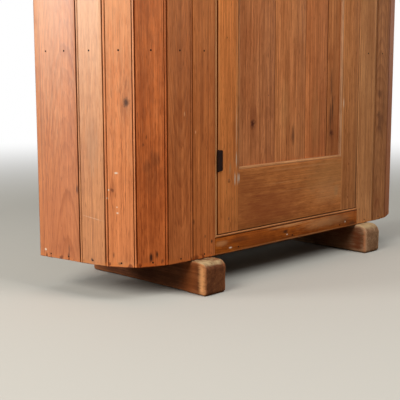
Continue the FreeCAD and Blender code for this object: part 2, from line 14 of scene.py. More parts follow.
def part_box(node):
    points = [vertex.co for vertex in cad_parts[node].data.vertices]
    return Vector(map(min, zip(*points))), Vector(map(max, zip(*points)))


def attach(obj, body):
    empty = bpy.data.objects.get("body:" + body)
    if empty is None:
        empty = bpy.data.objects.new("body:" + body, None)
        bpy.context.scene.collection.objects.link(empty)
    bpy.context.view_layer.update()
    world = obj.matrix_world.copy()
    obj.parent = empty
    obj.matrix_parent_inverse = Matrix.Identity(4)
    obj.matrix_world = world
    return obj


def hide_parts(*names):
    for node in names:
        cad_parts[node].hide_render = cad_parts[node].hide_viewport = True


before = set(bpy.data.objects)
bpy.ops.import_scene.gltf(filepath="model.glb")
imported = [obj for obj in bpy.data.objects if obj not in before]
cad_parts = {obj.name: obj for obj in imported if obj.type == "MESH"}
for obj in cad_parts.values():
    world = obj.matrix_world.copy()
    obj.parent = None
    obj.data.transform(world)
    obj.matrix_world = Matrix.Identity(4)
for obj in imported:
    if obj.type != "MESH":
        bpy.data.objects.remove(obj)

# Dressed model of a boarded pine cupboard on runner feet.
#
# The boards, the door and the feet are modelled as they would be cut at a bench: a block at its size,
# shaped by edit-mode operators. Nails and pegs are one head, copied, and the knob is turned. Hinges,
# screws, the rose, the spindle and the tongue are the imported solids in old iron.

logging.basicConfig(level=logging.INFO, format="%(levelname)s %(message)s")
LOG = logging.getLogger("cupboard")

MM = 0.001
SEED = 1871
SPECKS_PER_METRE = (30.0, 30.0, 19.0)
RIGHTWARD = Vector((1.0, 0.0, 0.0)).freeze()
BACKWARD = Vector((0.0, 1.0, 0.0)).freeze()
UPWARD = Vector((0.0, 0.0, 1.0)).freeze()
FACING_FRONT = (math.pi / 2, 0.0, 0.0)


# ---- names for choices ---------------------------------------------------------------------------
class Grain(Enum):
    """Which way a board's grain runs, as the axis order (across, depth, along)."""

    UPRIGHT = "XYZ"
    LEVEL = "ZYX"
    LEVEL_FLAT = "YZX"
    FRONT_TO_BACK = "XZY"


class Side(Enum):
    """A side of the cupboard; the value is the sign of X there."""

    LEFT = -1
    RIGHT = 1


class FrameSide(Enum):
    """A side of a mitred frame of strips."""

    LEFT = "left"
    RIGHT = "right"
    BOTTOM = "bottom"
    TOP = "top"

    @property
    def upright(self) -> bool:
        """True for the two upright sides."""
        return self in (FrameSide.LEFT, FrameSide.RIGHT)

    @property
    def across(self) -> int:
        """Axis across the strip, 0 for X or 2 for Z."""
        return 0 if self.upright else 2

    @property
    def along(self) -> int:
        """Axis along the strip, 0 for X or 2 for Z."""
        return 2 - self.across

    @property
    def grain(self) -> Grain:
        """Grain of the strip, which runs along it."""
        return Grain.UPRIGHT if self.upright else Grain.LEVEL

    def inner(self, low: Vector, high: Vector) -> float:
        """Place across the strip of its edge towards the middle of the frame."""
        return (high if self in (FrameSide.LEFT, FrameSide.BOTTOM) else low)[self.across]


class Body(Enum):
    """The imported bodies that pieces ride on."""

    CASE = "case"
    DOOR = "door"
    LATCH = "latch"


class Lot(Enum):
    """Lots of boards; the value is the first of the lot's seeds, so that no two boards are alike."""

    LEFT_SIDE = 0
    RAILS = 20
    OPENING_BEADS = 30
    LEVEL_BOARDS = 40
    TOP_BOARD = 48
    BACK_BOARDS = 60
    BACK_KNOTS = 80
    BATTENS = 90
    RUNNERS = 95
    RIGHT_SIDE = 100
    STILES = 120
    DOOR_RAILS = 130
    PANEL_BOARDS = 141
    MOULDINGS = 150
    PEGS = 160

    def seed(self, index: int = 0) -> int:
        """Seed of one board of the lot."""
        return SEED + self.value + index


class Figure(Enum):
    """Noises in pine: cycles per metre across, through and along the board, octaves and roughness."""

    FIBRE = ((700.0, 500.0, 12.0), 2.0, 0.6)
    PORES = ((620.0, 620.0, 34.0), 1.0, 0.5)
    FINE_STREAKS = ((300.0, 220.0, 4.5), 2.0, 0.6)
    STREAKS = ((150.0, 120.0, 2.2), 2.0, 0.55)
    BROAD_STREAKS = ((30.0, 26.0, 0.9), 2.0, 0.5)
    MOTTLE = ((34.0, 34.0, 15.0), 4.0, 0.7)
    PATINA = ((8.0, 8.0, 3.6), 5.0, 0.62)
    BLEACH = ((13.0, 13.0, 4.4), 5.0, 0.62)
    RING_WANDER = ((4.0, 4.0, 1.1), 2.0, 0.45)
    RING_RIPPLE = ((30.0, 30.0, 3.0), 2.0, 0.5)
    RING_WIDTHS = ((160.0, 160.0, 5.0), 1.0, 0.5)
    KNOT_OUTLINE = ((130.0, 130.0, 80.0), 4.0, 0.7)
    KNOT_TAIL = ((70.0, 70.0, 22.0), 3.0, 0.6)
    MARK_OUTLINE = ((190.0, 190.0, 30.0), 3.0, 0.6)
    ARRIS_WEAR = ((120.0, 120.0, 22.0), 3.0, 0.6)
    SEAM_DIRT = ((5.0, 5.0, 9.0), 3.0, 0.6)
    FOOT_WEAR = ((60.0, 60.0, 40.0), 4.0, 0.65)
    FOOT_CHIPS = ((62.0, 62.0, 34.0), 3.0, 0.6)
    DUST = ((40.0, 40.0, 40.0), 4.0, 0.65)
    GLOSS = ((9.0, 9.0, 3.0), 4.0, 0.6)


Colour = tuple[float, float, float]
Scale = tuple[float, float, float]


def srgb(red: int, green: int, blue: int) -> Colour:
    """Linear colour of an 8-bit display colour.

    Args:
        red: Red, 0 to 255.
        green: Green, 0 to 255.
        blue: Blue, 0 to 255.

    Returns:
        The colour in linear light.
    """

    def linear(value: int) -> float:
        """Linear light of one channel."""
        share = value / 255
        return share / 12.92 if share <= 0.04045 else ((share + 0.055) / 1.055) ** 2.4

    return linear(red), linear(green), linear(blue)


def scaled(colour: Colour, share: float) -> Colour:
    """Colour made darker or lighter by a share."""
    return colour[0] * share, colour[1] * share, colour[2] * share


def tinted(colour: Colour, tint: Colour) -> Colour:
    """Product of two colours, kept below white."""
    return tuple(min(first * second, 0.95) for first, second in zip(colour, tint))


# ---- node graphs ---------------------------------------------------------------------------------
Socket = bpy.types.NodeSocket


class Field:
    """What a node puts out over a surface; arithmetic on it adds Math nodes to its graph."""

    def __init__(self, graph: "Graph", socket: Socket) -> None:
        """Take an output socket of a graph."""
        self.graph = graph
        self.socket = socket

    def __add__(self, other: "Value") -> "Field":
        """Sum."""
        return self.graph.math("ADD", self, other)

    def __sub__(self, other: "Value") -> "Field":
        """Difference."""
        return self.graph.math("SUBTRACT", self, other)

    def __rsub__(self, other: float) -> "Field":
        """Difference from a number."""
        return self.graph.math("SUBTRACT", other, self)

    def __mul__(self, other: "Value") -> "Field":
        """Product."""
        return self.graph.math("MULTIPLY", self, other)

    def __truediv__(self, other: "Value") -> "Field":
        """Quotient."""
        return self.graph.math("DIVIDE", self, other)

    def __pow__(self, other: float) -> "Field":
        """Power."""
        return self.graph.math("POWER", self, other)

    def __abs__(self) -> "Field":
        """Value without its sign."""
        return self.graph.math("ABSOLUTE", self)

    __rmul__ = __mul__

    def least(self, other: "Value") -> "Field":
        """The smaller of two."""
        return self.graph.math("MINIMUM", self, other)

    def most(self, other: "Value") -> "Field":
        """The larger of two."""
        return self.graph.math("MAXIMUM", self, other)

    def root(self) -> "Field":
        """Square root."""
        return self.graph.math("SQRT", self)

    def parts(self) -> tuple["Field", "Field", "Field"]:
        """The three parts of a vector or colour."""
        node = self.graph.add("ShaderNodeSeparateXYZ")
        self.graph.feed(node.inputs[0], self)
        return tuple(self.graph.out(node, index) for index in range(3))


Value = float | Field


class Graph:
    """Writes a node tree with short calls that return what the nodes put out."""

    def __init__(self, tree: bpy.types.NodeTree) -> None:
        """Empty a tree, to write in it."""
        self.tree = tree
        tree.nodes.clear()

    def add(self, kind: str, **settings: object) -> bpy.types.Node:
        """Add a node and set its properties.

        Args:
            kind: The node's type name.
            **settings: Properties to set on it.

        Returns:
            The new node.
        """
        node = self.tree.nodes.new(kind)
        for name, value in settings.items():
            setattr(node, name, value)
        return node

    def feed(self, socket: Socket, value: object) -> None:
        """Link a field to an input, or set the input's constant."""
        if isinstance(value, Field):
            self.tree.links.new(value.socket, socket)
        elif socket.type == "RGBA":
            socket.default_value = (*value, 1.0)
        else:
            socket.default_value = value

    def out(self, node: bpy.types.Node, name: str | int = 0) -> Field:
        """One output of a node, by its name or number."""
        return Field(self, node.outputs[name])

    def source(self, kind: str, name: str) -> Field:
        """An output of a new node that has no inputs to feed."""
        return self.out(self.add(kind), name)

    def shader(self, kind: str, **values: object) -> Field:
        """Shader node.

        Args:
            kind: The node's type name.
            **values: Its inputs by name, with _ for a space.

        Returns:
            The shader.
        """
        node = self.add(kind)
        for name, value in values.items():
            self.feed(node.inputs[name.replace("_", " ")], value)
        return self.out(node)

    def close(self, kind: str, shader: Field) -> None:
        """End the tree in an output node."""
        self.feed(self.add(kind).inputs["Surface"], shader)

    def math(self, operation: str, first: Value, second: Value = 0.0) -> Field:
        """One Math node.

        Args:
            operation: Its operation.
            first: First operand.
            second: Second operand.

        Returns:
            Its result.
        """
        node = self.add("ShaderNodeMath", operation=operation)
        self.feed(node.inputs[0], first)
        self.feed(node.inputs[1], second)
        return self.out(node)

    def step(
        self, value: Value, low: float, high: float, out_low: float = 0.0, out_high: float = 1.0
    ) -> Field:
        """Smooth step of a value.

        Args:
            value: What is mapped.
            low: Value that gives out_low.
            high: Value that gives out_high.
            out_low: Result at and below low.
            out_high: Result at and above high.

        Returns:
            The mapped value.
        """
        node = self.add("ShaderNodeMapRange", interpolation_type="SMOOTHSTEP")
        for socket, item in zip(node.inputs, (value, low, high, out_low, out_high)):
            self.feed(socket, item)
        return self.out(node)

    def stretch(self, place: Field, scale: Scale) -> Field:
        """Place multiplied by a scale of its own along each axis."""
        node = self.add("ShaderNodeVectorMath", operation="MULTIPLY")
        self.feed(node.inputs[0], place)
        self.feed(node.inputs[1], scale)
        return self.out(node)

    def noise(self, place: Field, scale: Scale, detail: float, rough: float) -> Field:
        """Noise stretched by a scale of its own along each axis.

        Args:
            place: Where it is read, in metres.
            scale: Cycles per metre along each axis.
            detail: Octaves.
            rough: Strength of the finer octaves.

        Returns:
            A value about 0.5.
        """
        node = self.add("ShaderNodeTexNoise", noise_dimensions="3D")
        self.feed(node.inputs["Vector"], self.stretch(place, scale))
        self.feed(node.inputs["Scale"], 1.0)
        self.feed(node.inputs["Detail"], detail)
        self.feed(node.inputs["Roughness"], rough)
        return self.out(node, "Fac")

    def mix(self, factor: Value, first: object, second: object, blend: str = "MIX") -> Field:
        """Mix of two colours.

        Args:
            factor: Share of the second.
            first: Colour, as a field or a constant.
            second: Colour, as a field or a constant.
            blend: Blend type.

        Returns:
            The mixed colour.
        """
        node = self.add("ShaderNodeMix", data_type="RGBA", blend_type=blend, clamp_factor=True)
        self.feed(node.inputs[0], factor)
        self.feed(node.inputs[6], first)
        self.feed(node.inputs[7], second)
        return self.out(node, 2)

    def join(self, first: Value, second: Value, third: Value) -> Field:
        """A vector of three parts."""
        node = self.add("ShaderNodeCombineXYZ")
        for socket, value in zip(node.inputs, (first, second, third)):
            self.feed(socket, value)
        return self.out(node)

    def bump(self, height: Field, strength: float, distance: float) -> Field:
        """Normal of a surface raised by height.

        Args:
            height: Height, 0 to 1.
            strength: Share of the effect.
            distance: Real height of 1, in metres.

        Returns:
            The bumped normal.
        """
        node = self.add("ShaderNodeBump")
        self.feed(node.inputs["Strength"], strength)
        self.feed(node.inputs["Distance"], distance)
        self.feed(node.inputs["Height"], height)
        return self.out(node, "Normal")


def length(first: Field, second: Field) -> Field:
    """Length of a run whose two square legs are given."""
    return (first * first + second * second).root()


def new_material(name: str) -> tuple[bpy.types.Material, Graph]:
    """Material with an empty node tree.

    Args:
        name: Its name.

    Returns:
        The material and a graph on its tree.
    """
    material = bpy.data.materials.new(name)
    material.use_nodes = True
    return material, Graph(material.node_tree)


def close_surface(graph: Graph, **values: object) -> None:
    """End a material in a Principled shader, with its inputs by name."""
    graph.close("ShaderNodeOutputMaterial", graph.shader("ShaderNodeBsdfPrincipled", **values))


# ---- finishes ------------------------------------------------------------------------------------
@dataclass(frozen=True)
class Knot:
    """A knot in a board: place and radius in metres, and the length of its dark tail in radii."""

    across: float
    along: float
    radius: float
    strength: float = 1.0
    tail: float = 3.0


@dataclass(frozen=True)
class Mark:
    """A smudge, scuff, chip or scratch on a board: place, half breadth and half height, in metres."""

    across: float
    along: float
    breadth: float
    height: float
    colour: Colour
    strength: float
    tilt: float = 0.0


@dataclass(frozen=True)
class BoardPlace:
    """A place on a board, measured from its low corner, in the graph of the board's material."""

    graph: Graph
    across: Field
    depth: Field
    along: Field
    own: Field
    sizes: tuple[float, float, float]

    def noise(self, figure: Figure) -> Field:
        """One of pine's noises, as it runs in this board."""
        return self.graph.noise(self.own, *figure.value)


@dataclass(frozen=True)
class PineFinish:
    """Waxed old pine: growth rings, fibre, patina, worn arrises, dirty joints, knots and marks.

    The tone is the board's mean colour, and late, pale, patina, bleach, soot_and_shade, arris,
    halo, core and rubbed are tints of it. Pith and its depth, in metres from the face's middle, set
    whether the rings show as lines or as arches, and rise says how fast the arches follow each other.
    Seams are the soiled joints along the low and the high edge, groove_grime_and_shade the soiling and
    painted shade in grooves; soot_and_shade is the dark tint of both, and of the painted shadow along a
    board's foot. Body says which body the pieces of this pine ride on.
    """

    name: str
    tone: Colour
    slot: str = "case_pine"
    body: Body = Body.CASE
    late: Colour = (0.60, 0.48, 0.38)
    pale: Colour = (1.16, 1.22, 1.30)
    patina: Colour = (0.84, 0.74, 0.66)
    bleach: Colour = (1.06, 1.16, 1.24)
    soot_and_shade: Colour = (0.18, 0.07, 0.025)
    arris: Colour = (1.45, 1.62, 1.80)
    halo: Colour = (0.42, 0.30, 0.24)
    core: Colour = (0.16, 0.08, 0.04)
    rubbed: Colour = (1.18, 1.10, 0.84)
    ring: float = 3.4 * MM
    contrast: float = 0.42
    streak: float = 0.28
    mottle: float = 0.14
    patina_share: float = 0.5
    bleach_share: float = 0.3
    wear: float = 0.45
    wear_width: float = 3.8 * MM
    seams: tuple[float, float] = (0.85, 0.85)
    seam_width: tuple[float, float] = (0.8 * MM, 1.8 * MM)
    groove_grime_and_shade: float = 0.0
    groove_mouth: tuple[float, float] = (0.9 * MM, 2.2 * MM)
    groove_floor: tuple[float, float] = (7.0 * MM, 11.0 * MM)
    foot_wear: float = 0.0
    foot_height: float = 20.0 * MM
    dust: float = 0.0
    dust_colour: Colour = srgb(194, 168, 124)
    rounded_end: float = 0.0
    roughness: float = 0.55
    specular: float = 0.18
    relief: float = 0.45 * MM
    sway: float = 1.8 * MM
    pith: float | None = None
    pith_depth: float = 60.0 * MM
    rise: float = 0.02
    knots: tuple[Knot, ...] = ()
    marks: tuple[Mark, ...] = ()

    def material(
        self, piece: bpy.types.Object, grain: Grain, heading: float, seed: int
    ) -> bpy.types.Material:
        """Material for one board, laid out from the board's own extent.

        Args:
            piece: The board.
            grain: Which way its grain runs.
            heading: Turn that brings the board's face square to the front, in radians about Z.
            seed: Number that places the figure, so that no two boards match.

        Returns:
            The material.
        """
        draw = random.Random(seed)
        material, graph = new_material(f"{self.name}_{piece.name}")
        place = self._place(graph, piece, grain, heading, draw)
        pull, core, halo = self._knots(place)
        rings = self._rings(place, pull, draw)
        fibre = place.noise(Figure.FIBRE)

        colour = self._wood(place, rings, fibre)
        colour = graph.mix(halo, colour, tinted(self.tone, self.halo))
        colour = graph.mix(core, colour, tinted(self.tone, self.core))
        colour = self._marked(place, colour)
        colour = self._specked(place, colour)
        colour, dirt_and_shade = self._edged(place, colour)
        if self.foot_wear:
            colour = self._foot_worn(place, colour)
        if self.dust:
            colour = self._dusted(place, colour)

        undarkened = 1.0 - dirt_and_shade
        close_surface(
            graph,
            Base_Color=colour,
            Roughness=place.noise(Figure.GLOSS) * 0.30 + (self.roughness - 0.13) - rings * 0.05,
            Normal=graph.bump(rings * 0.45 + fibre * 0.55 - core * 0.5, 0.35, self.relief),
            Specular_IOR_Level=self.specular,
            Specular_Tint=graph.join(undarkened, undarkened, undarkened),
        )
        return material

    def _place(
        self, graph: Graph, piece: bpy.types.Object, grain: Grain, heading: float, draw: random.Random
    ) -> BoardPlace:
        """Object coordinates as across, depth and along of the board, and a shifted copy for its noise."""
        extent = board_extent(piece, grain, heading)
        turned = graph.add("ShaderNodeMapping")
        graph.feed(turned.inputs["Vector"], graph.source("ShaderNodeTexCoord", "Object"))
        graph.feed(turned.inputs["Rotation"], (0.0, 0.0, heading))
        parts = dict(zip("XYZ", graph.out(turned).parts()))
        local = [parts[axis] - low for axis, (low, _) in zip(grain.value, extent)]
        shift = [draw.uniform(-9, 9) for _ in range(3)]
        own = graph.join(*(part + offset for part, offset in zip(local, shift)))
        return BoardPlace(graph, *local, own, tuple(high - low for low, high in extent))

    def _rings(self, place: BoardPlace, pull: Value, draw: random.Random) -> Field:
        """Late wood, 0 to 1, from growth rings about a pith that rises and wanders."""
        graph = place.graph
        pith = self.pith
        if pith is None:
            pith = draw.choice((-1, 1)) * (place.sizes[0] * 0.6 + draw.uniform(10, 40) * MM)
        sway = place.noise(Figure.RING_WANDER) * (4 * self.sway) - 2 * self.sway
        sway += place.noise(Figure.RING_RIPPLE) * (0.4 * self.sway)
        side = place.across - (place.sizes[0] / 2 + pith) + sway + pull
        deep = place.along * self.rise + (place.depth + self.pith_depth) + sway
        count = length(side, deep) / self.ring + place.noise(Figure.RING_WIDTHS) * 0.4
        part = graph.math("FRACT", count)
        late = graph.step(part, 0.25, 0.85) - graph.step(part, 0.90, 1.0)
        year = graph.add("ShaderNodeTexWhiteNoise", noise_dimensions="1D")
        graph.feed(year.inputs["W"], graph.math("FLOOR", count))
        return late * (graph.out(year, "Value") * 0.75 + 0.25)

    def _wood(self, place: BoardPlace, rings: Field, fibre: Field) -> Field:
        """Colour of sound wood: rings, streaks of several widths, pores and patina."""
        graph = place.graph
        shade: Value = 1.0
        for texture, depth in (
            (fibre, 0.6 * self.streak),
            (place.noise(Figure.FINE_STREAKS), 1.1 * self.streak),
            (place.noise(Figure.STREAKS), 0.9 * self.streak),
            (place.noise(Figure.BROAD_STREAKS), 0.5 * self.streak),
            (place.noise(Figure.MOTTLE), self.mottle),
        ):
            shade = shade * (graph.step(texture, 0.30, 0.70) * depth + (1.0 - depth * 0.55))
        shade = shade * graph.step(place.noise(Figure.PORES), 0.60, 0.70, 1.0, 0.62)
        colour = graph.mix(
            rings * self.contrast, tinted(self.tone, self.pale), tinted(self.tone, self.late)
        )
        colour = graph.mix(1.0, colour, graph.join(shade, shade**1.25, shade**1.5), "MULTIPLY")
        for figure, tint, share in (
            (Figure.PATINA, self.patina, self.patina_share),
            (Figure.BLEACH, self.bleach, self.bleach_share),
        ):
            cloud = graph.step(place.noise(figure), 0.42, 0.64)
            colour = graph.mix(cloud * share, colour, graph.mix(1.0, colour, tint, "MULTIPLY"))
        return colour

    def _knots(self, place: BoardPlace) -> tuple[Value, Value, Value]:
        """Sideways pull on the rings, dark core and broken, tailed halo of the board's knots."""
        graph = place.graph
        pull, core, halo = 0.0, 0.0, 0.0
        outline, broken = place.noise(Figure.KNOT_OUTLINE) * 2.6, place.noise(Figure.KNOT_TAIL) * 2.8
        for knot in self.knots:
            side = (place.across - knot.across) / knot.radius
            rise = (place.along - knot.along) / (knot.radius * 1.2)
            square = side * side + rise * rise
            core = graph.step(square.root() + outline, 1.6, 2.5, knot.strength, 0.0).most(core)
            tail = length(side, rise / knot.tail) + broken
            halo = graph.step(tail, 1.5, 3.4, 0.55 * knot.strength, 0.0).most(halo)
            fade = graph.math("EXPONENT", square * -0.05)
            pull = side / (abs(side) + 0.6) * fade * (-1.7 * knot.radius) + pull
        return pull, core, halo

    def _marked(self, place: BoardPlace, colour: Field) -> Field:
        """Colour with the board's marks laid over it, their outlines broken by the grain."""
        graph = place.graph
        rough = place.noise(Figure.MARK_OUTLINE) * 1.1
        for mark in self.marks:
            side = place.across - mark.across
            rise = place.along - mark.along - side * mark.tilt
            away = length(side / mark.breadth, rise / mark.height) + rough
            colour = graph.mix(graph.step(away, 0.75, 1.75, mark.strength, 0.0), colour, mark.colour)
        return colour

    def _specked(self, place: BoardPlace, colour: Field) -> Field:
        """Colour with small pale scuffs and dark specks of long use."""
        graph = place.graph
        specks = graph.add("ShaderNodeTexVoronoi", feature="F1", distance="EUCLIDEAN")
        graph.feed(specks.inputs["Vector"], graph.stretch(place.own, SPECKS_PER_METRE))
        graph.feed(specks.inputs["Scale"], 1.0)
        pick = graph.out(specks, "Color").parts()[0]
        dot = graph.step(graph.out(specks, "Distance"), 0.020, 0.055, 1.0, 0.0)
        pale = dot * graph.math("GREATER_THAN", pick, 0.82)
        dark = dot * graph.math("LESS_THAN", pick, 0.20)
        colour = graph.mix(pale * 0.6, colour, tinted(self.tone, self.arris))
        return graph.mix(dark * 0.7, colour, scaled(self.tone, 0.2))

    def _to_arris(self, place: BoardPlace) -> Field:
        """Distance from the nearest arris of the board."""
        spots = (place.across, place.depth, place.along)
        across, *others = (spot.least(size - spot) for spot, size in zip(spots, place.sizes))
        if self.rounded_end:
            short = ((self.rounded_end - gap).most(0.0) for gap in others)
            return across.most(self.rounded_end - length(*short))
        depth, along = others
        return across.least(depth).most(across.most(depth).least(along))

    def _edged(self, place: BoardPlace, colour: Field) -> tuple[Field, Field]:
        """Colour with worn arrises, soiled joints, and soiling and painted shade in grooves, and how dark
        each place is made.
        """
        graph = place.graph
        width = self.wear_width
        near = self._to_arris(place) + (place.noise(Figure.ARRIS_WEAR) * (1.3 * width) - 0.65 * width)
        worn = graph.step(near, 0.42 * width, width, self.wear, 0.0)
        colour = graph.mix(worn, colour, tinted(self.tone, self.arris))

        # Painted shade and soiling: darker where a groove sinks below its mouth, fading out near its
        # floor.
        dirt_and_shade = graph.step(place.depth, *self.groove_mouth, 0.0, self.groove_grime_and_shade)
        dirt_and_shade = dirt_and_shade * graph.step(place.depth, *self.groove_floor, 1.0, 0.0)
        sway = place.noise(Figure.SEAM_DIRT) * (-3.4 * MM) + 1.3 * MM
        for gap, strength in zip((place.across, place.sizes[0] - place.across), self.seams):
            dirt_and_shade = dirt_and_shade.most(graph.step(gap + sway, *self.seam_width, strength, 0.0))
        return graph.mix(dirt_and_shade, colour, tinted(self.tone, self.soot_and_shade)), dirt_and_shade

    def _foot_worn(self, place: BoardPlace, colour: Field) -> Field:
        """Colour with the board's low end rubbed pale, chipped and dirty in places, and a painted shadow
        along its foot.
        """
        graph = place.graph
        soot_and_shade = tinted(self.tone, self.soot_and_shade)
        rough = place.noise(Figure.FOOT_WEAR)
        height = place.along - self.foot_height + rough * (2 * self.foot_height)
        rubbed = graph.step(height, 0.0, 0.7 * self.foot_height, self.foot_wear, 0.0)
        colour = graph.mix(rubbed, colour, tinted(self.tone, self.rubbed))
        low = graph.step(place.along, 5.0 * MM, 17.0 * MM, self.foot_wear, 0.0)
        chips = graph.step(place.noise(Figure.FOOT_CHIPS), 0.55, 0.63)
        colour = graph.mix(chips * low, colour, soot_and_shade)
        # Painted shadow: a dark band along the very foot of the board.
        sole = graph.step(rough * (4.0 * MM) + place.along, 2.2 * MM, 4.6 * MM, 0.9, 0.0)
        return graph.mix(sole, colour, soot_and_shade)

    def _dusted(self, place: BoardPlace, colour: Field) -> Field:
        """Colour with dust and scuffs on what faces up."""
        graph = place.graph
        upward = graph.source("ShaderNodeNewGeometry", "Normal").parts()[2]
        share = graph.step(upward, 0.45, 0.9, 0.0, self.dust)
        share = share * graph.step(place.noise(Figure.DUST), 0.3, 0.6)
        return graph.mix(share, colour, self.dust_colour)


def board_extent(
    piece: bpy.types.Object, grain: Grain, heading: float
) -> list[tuple[float, float]]:
    """Lowest and highest value of a piece across it, through it and along its grain.

    Args:
        piece: The board.
        grain: Which way its grain runs.
        heading: Turn that brings the board's face square to the front.

    Returns:
        Three pairs, in metres.
    """
    turn = Matrix.Rotation(heading, 3, "Z")
    points = [turn @ vertex.co for vertex in piece.data.vertices]
    ranges = ([point["XYZ".index(axis)] for point in points] for axis in grain.value)
    return [(min(values), max(values)) for values in ranges]


@dataclass(frozen=True)
class IronFinish:
    """Old iron: near black, with blotches of rust."""

    name: str = "old_iron"
    base: Colour = srgb(30, 12, 5)
    rust: Colour = srgb(60, 30, 18)
    roughness: float = 0.66
    pitting: float = 0.3 * MM

    def material(self) -> bpy.types.Material:
        """The finish as one material."""
        material, graph = new_material(self.name)
        place = graph.source("ShaderNodeTexCoord", "Object")
        blotch = graph.noise(place, (90.0, 90.0, 90.0), 5.0, 0.65)
        grit = graph.noise(place, (900.0, 900.0, 900.0), 3.0, 0.6)
        colour = graph.mix(graph.step(blotch, 0.48, 0.78), self.base, self.rust)
        colour = graph.mix(graph.step(grit, 0.55, 0.8, 0.0, 0.4), colour, scaled(self.base, 2.2))
        close_surface(
            graph,
            Base_Color=colour,
            Roughness=blotch * 0.3 + (self.roughness - 0.15),
            Normal=graph.bump(blotch + grit * 0.5, 0.5, self.pitting),
            Metallic=0.1,
            Specular_IOR_Level=0.15,
        )
        return material


@dataclass(frozen=True)
class TurnedFinish:
    """Dark turned wood, polished by hands, with fine rings about its axis."""

    name: str = "turned_wood"
    light: Colour = srgb(112, 62, 34)
    dark: Colour = srgb(58, 30, 18)
    ridges: float = 0.2 * MM

    def material(self) -> bpy.types.Material:
        """The finish as one material."""
        material, graph = new_material(self.name)
        place = graph.source("ShaderNodeTexCoord", "Object")
        figure = graph.noise(place, (220.0, 26.0, 220.0), 4.0, 0.6)
        cut = graph.noise(place, (20.0, 1400.0, 20.0), 1.0, 0.5)
        colour = graph.mix(graph.step(figure, 0.35, 0.65), self.dark, self.light)
        colour = graph.mix(graph.step(cut, 0.5, 0.8, 0.0, 0.25), colour, scaled(self.dark, 0.6))
        close_surface(
            graph,
            Base_Color=colour,
            Roughness=0.34,
            Normal=graph.bump(cut, 0.3, self.ridges),
            Coat_Weight=0.25,
            Coat_Roughness=0.2,
        )
        return material


PALE_DIRT = srgb(238, 220, 194)
GREY_HAZE = srgb(170, 124, 88)
DARK_DIRT = srgb(70, 36, 20)
DARK_KNOT = srgb(70, 34, 16)
PALE_CHIP = srgb(230, 166, 116)
PALE_WOOD = srgb(206, 146, 94)
OLIVE_WOOD = srgb(178, 126, 74)
RED_WOOD = srgb(134, 62, 24)
# Pale colour of the painted sheen on the upper parts of boards.
PAINTED_SHEEN = srgb(248, 190, 140)
CHAR_AND_SHADE = srgb(46, 22, 12)


def knot(across: float, along: float, radius: float, strength: float = 1.0, tail: float = 3.0) -> Knot:
    """Knot in a board, with its place and radius in millimetres."""
    return Knot(across * MM, along * MM, radius * MM, strength, tail)


def stain(
    across: float,
    along: float,
    breadth: float,
    height: float,
    strength: float = 0.6,
    colour: Colour = DARK_DIRT,
) -> Mark:
    """Mark on a board, with its place and half sizes in millimetres."""
    return Mark(across * MM, along * MM, breadth * MM, height * MM, colour, strength)


def fleck(across: float, along: float, size: float = 3.0) -> Mark:
    """Small pale chip, with its place and half size in millimetres."""
    return stain(across, along, size, size, 0.9, PALE_DIRT)


def bleach(strength: float) -> Mark:
    """Painted sheen: the upper part of a board made paler, where a waxed face would catch the light."""
    return stain(40, 900, 160, 620, strength, PAINTED_SHEEN)


CASE_PINE = PineFinish("case_pine", srgb(196, 120, 76), groove_grime_and_shade=0.9)
STAVE_PINE = replace(CASE_PINE, foot_wear=0.75)
DOOR_PINE = PineFinish(
    "door_pine", srgb(190, 114, 62), slot="door_pine", body=Body.DOOR, seams=(0.5, 0.5)
)
INSIDE_PINE = PineFinish(
    "inside_pine",
    srgb(190, 148, 102),
    slot="inside_pine",
    late=(0.70, 0.60, 0.50),
    arris=(1.2, 1.25, 1.3),
    ring=5.0 * MM,
    seams=(0.4, 0.4),
    roughness=0.68,
)
RUNNER_PINE = PineFinish(
    "runner",
    srgb(110, 62, 32),
    slot="runner_pine",
    arris=(2.4, 2.6, 2.9),
    roughness=0.66,
    wear_width=12.0 * MM,
    seams=(0.0, 0.0),
    patina_share=0.8,
    mottle=0.6,
    dust=0.95,
    rounded_end=20.0 * MM,
    knots=(knot(30, 60, 6, 0.6),),
)


# ---- bench work ----------------------------------------------------------------------------------
NEAR = 0.05 * MM
ALIGNED = 1e-6
FACING = 0.9
Test = Callable[[Vector, object], bool]


def clear_selection() -> None:
    """Leave object mode and select nothing."""
    if bpy.context.mode != "OBJECT":
        bpy.ops.object.mode_set(mode="OBJECT")
    bpy.ops.object.select_all(action="DESELECT")


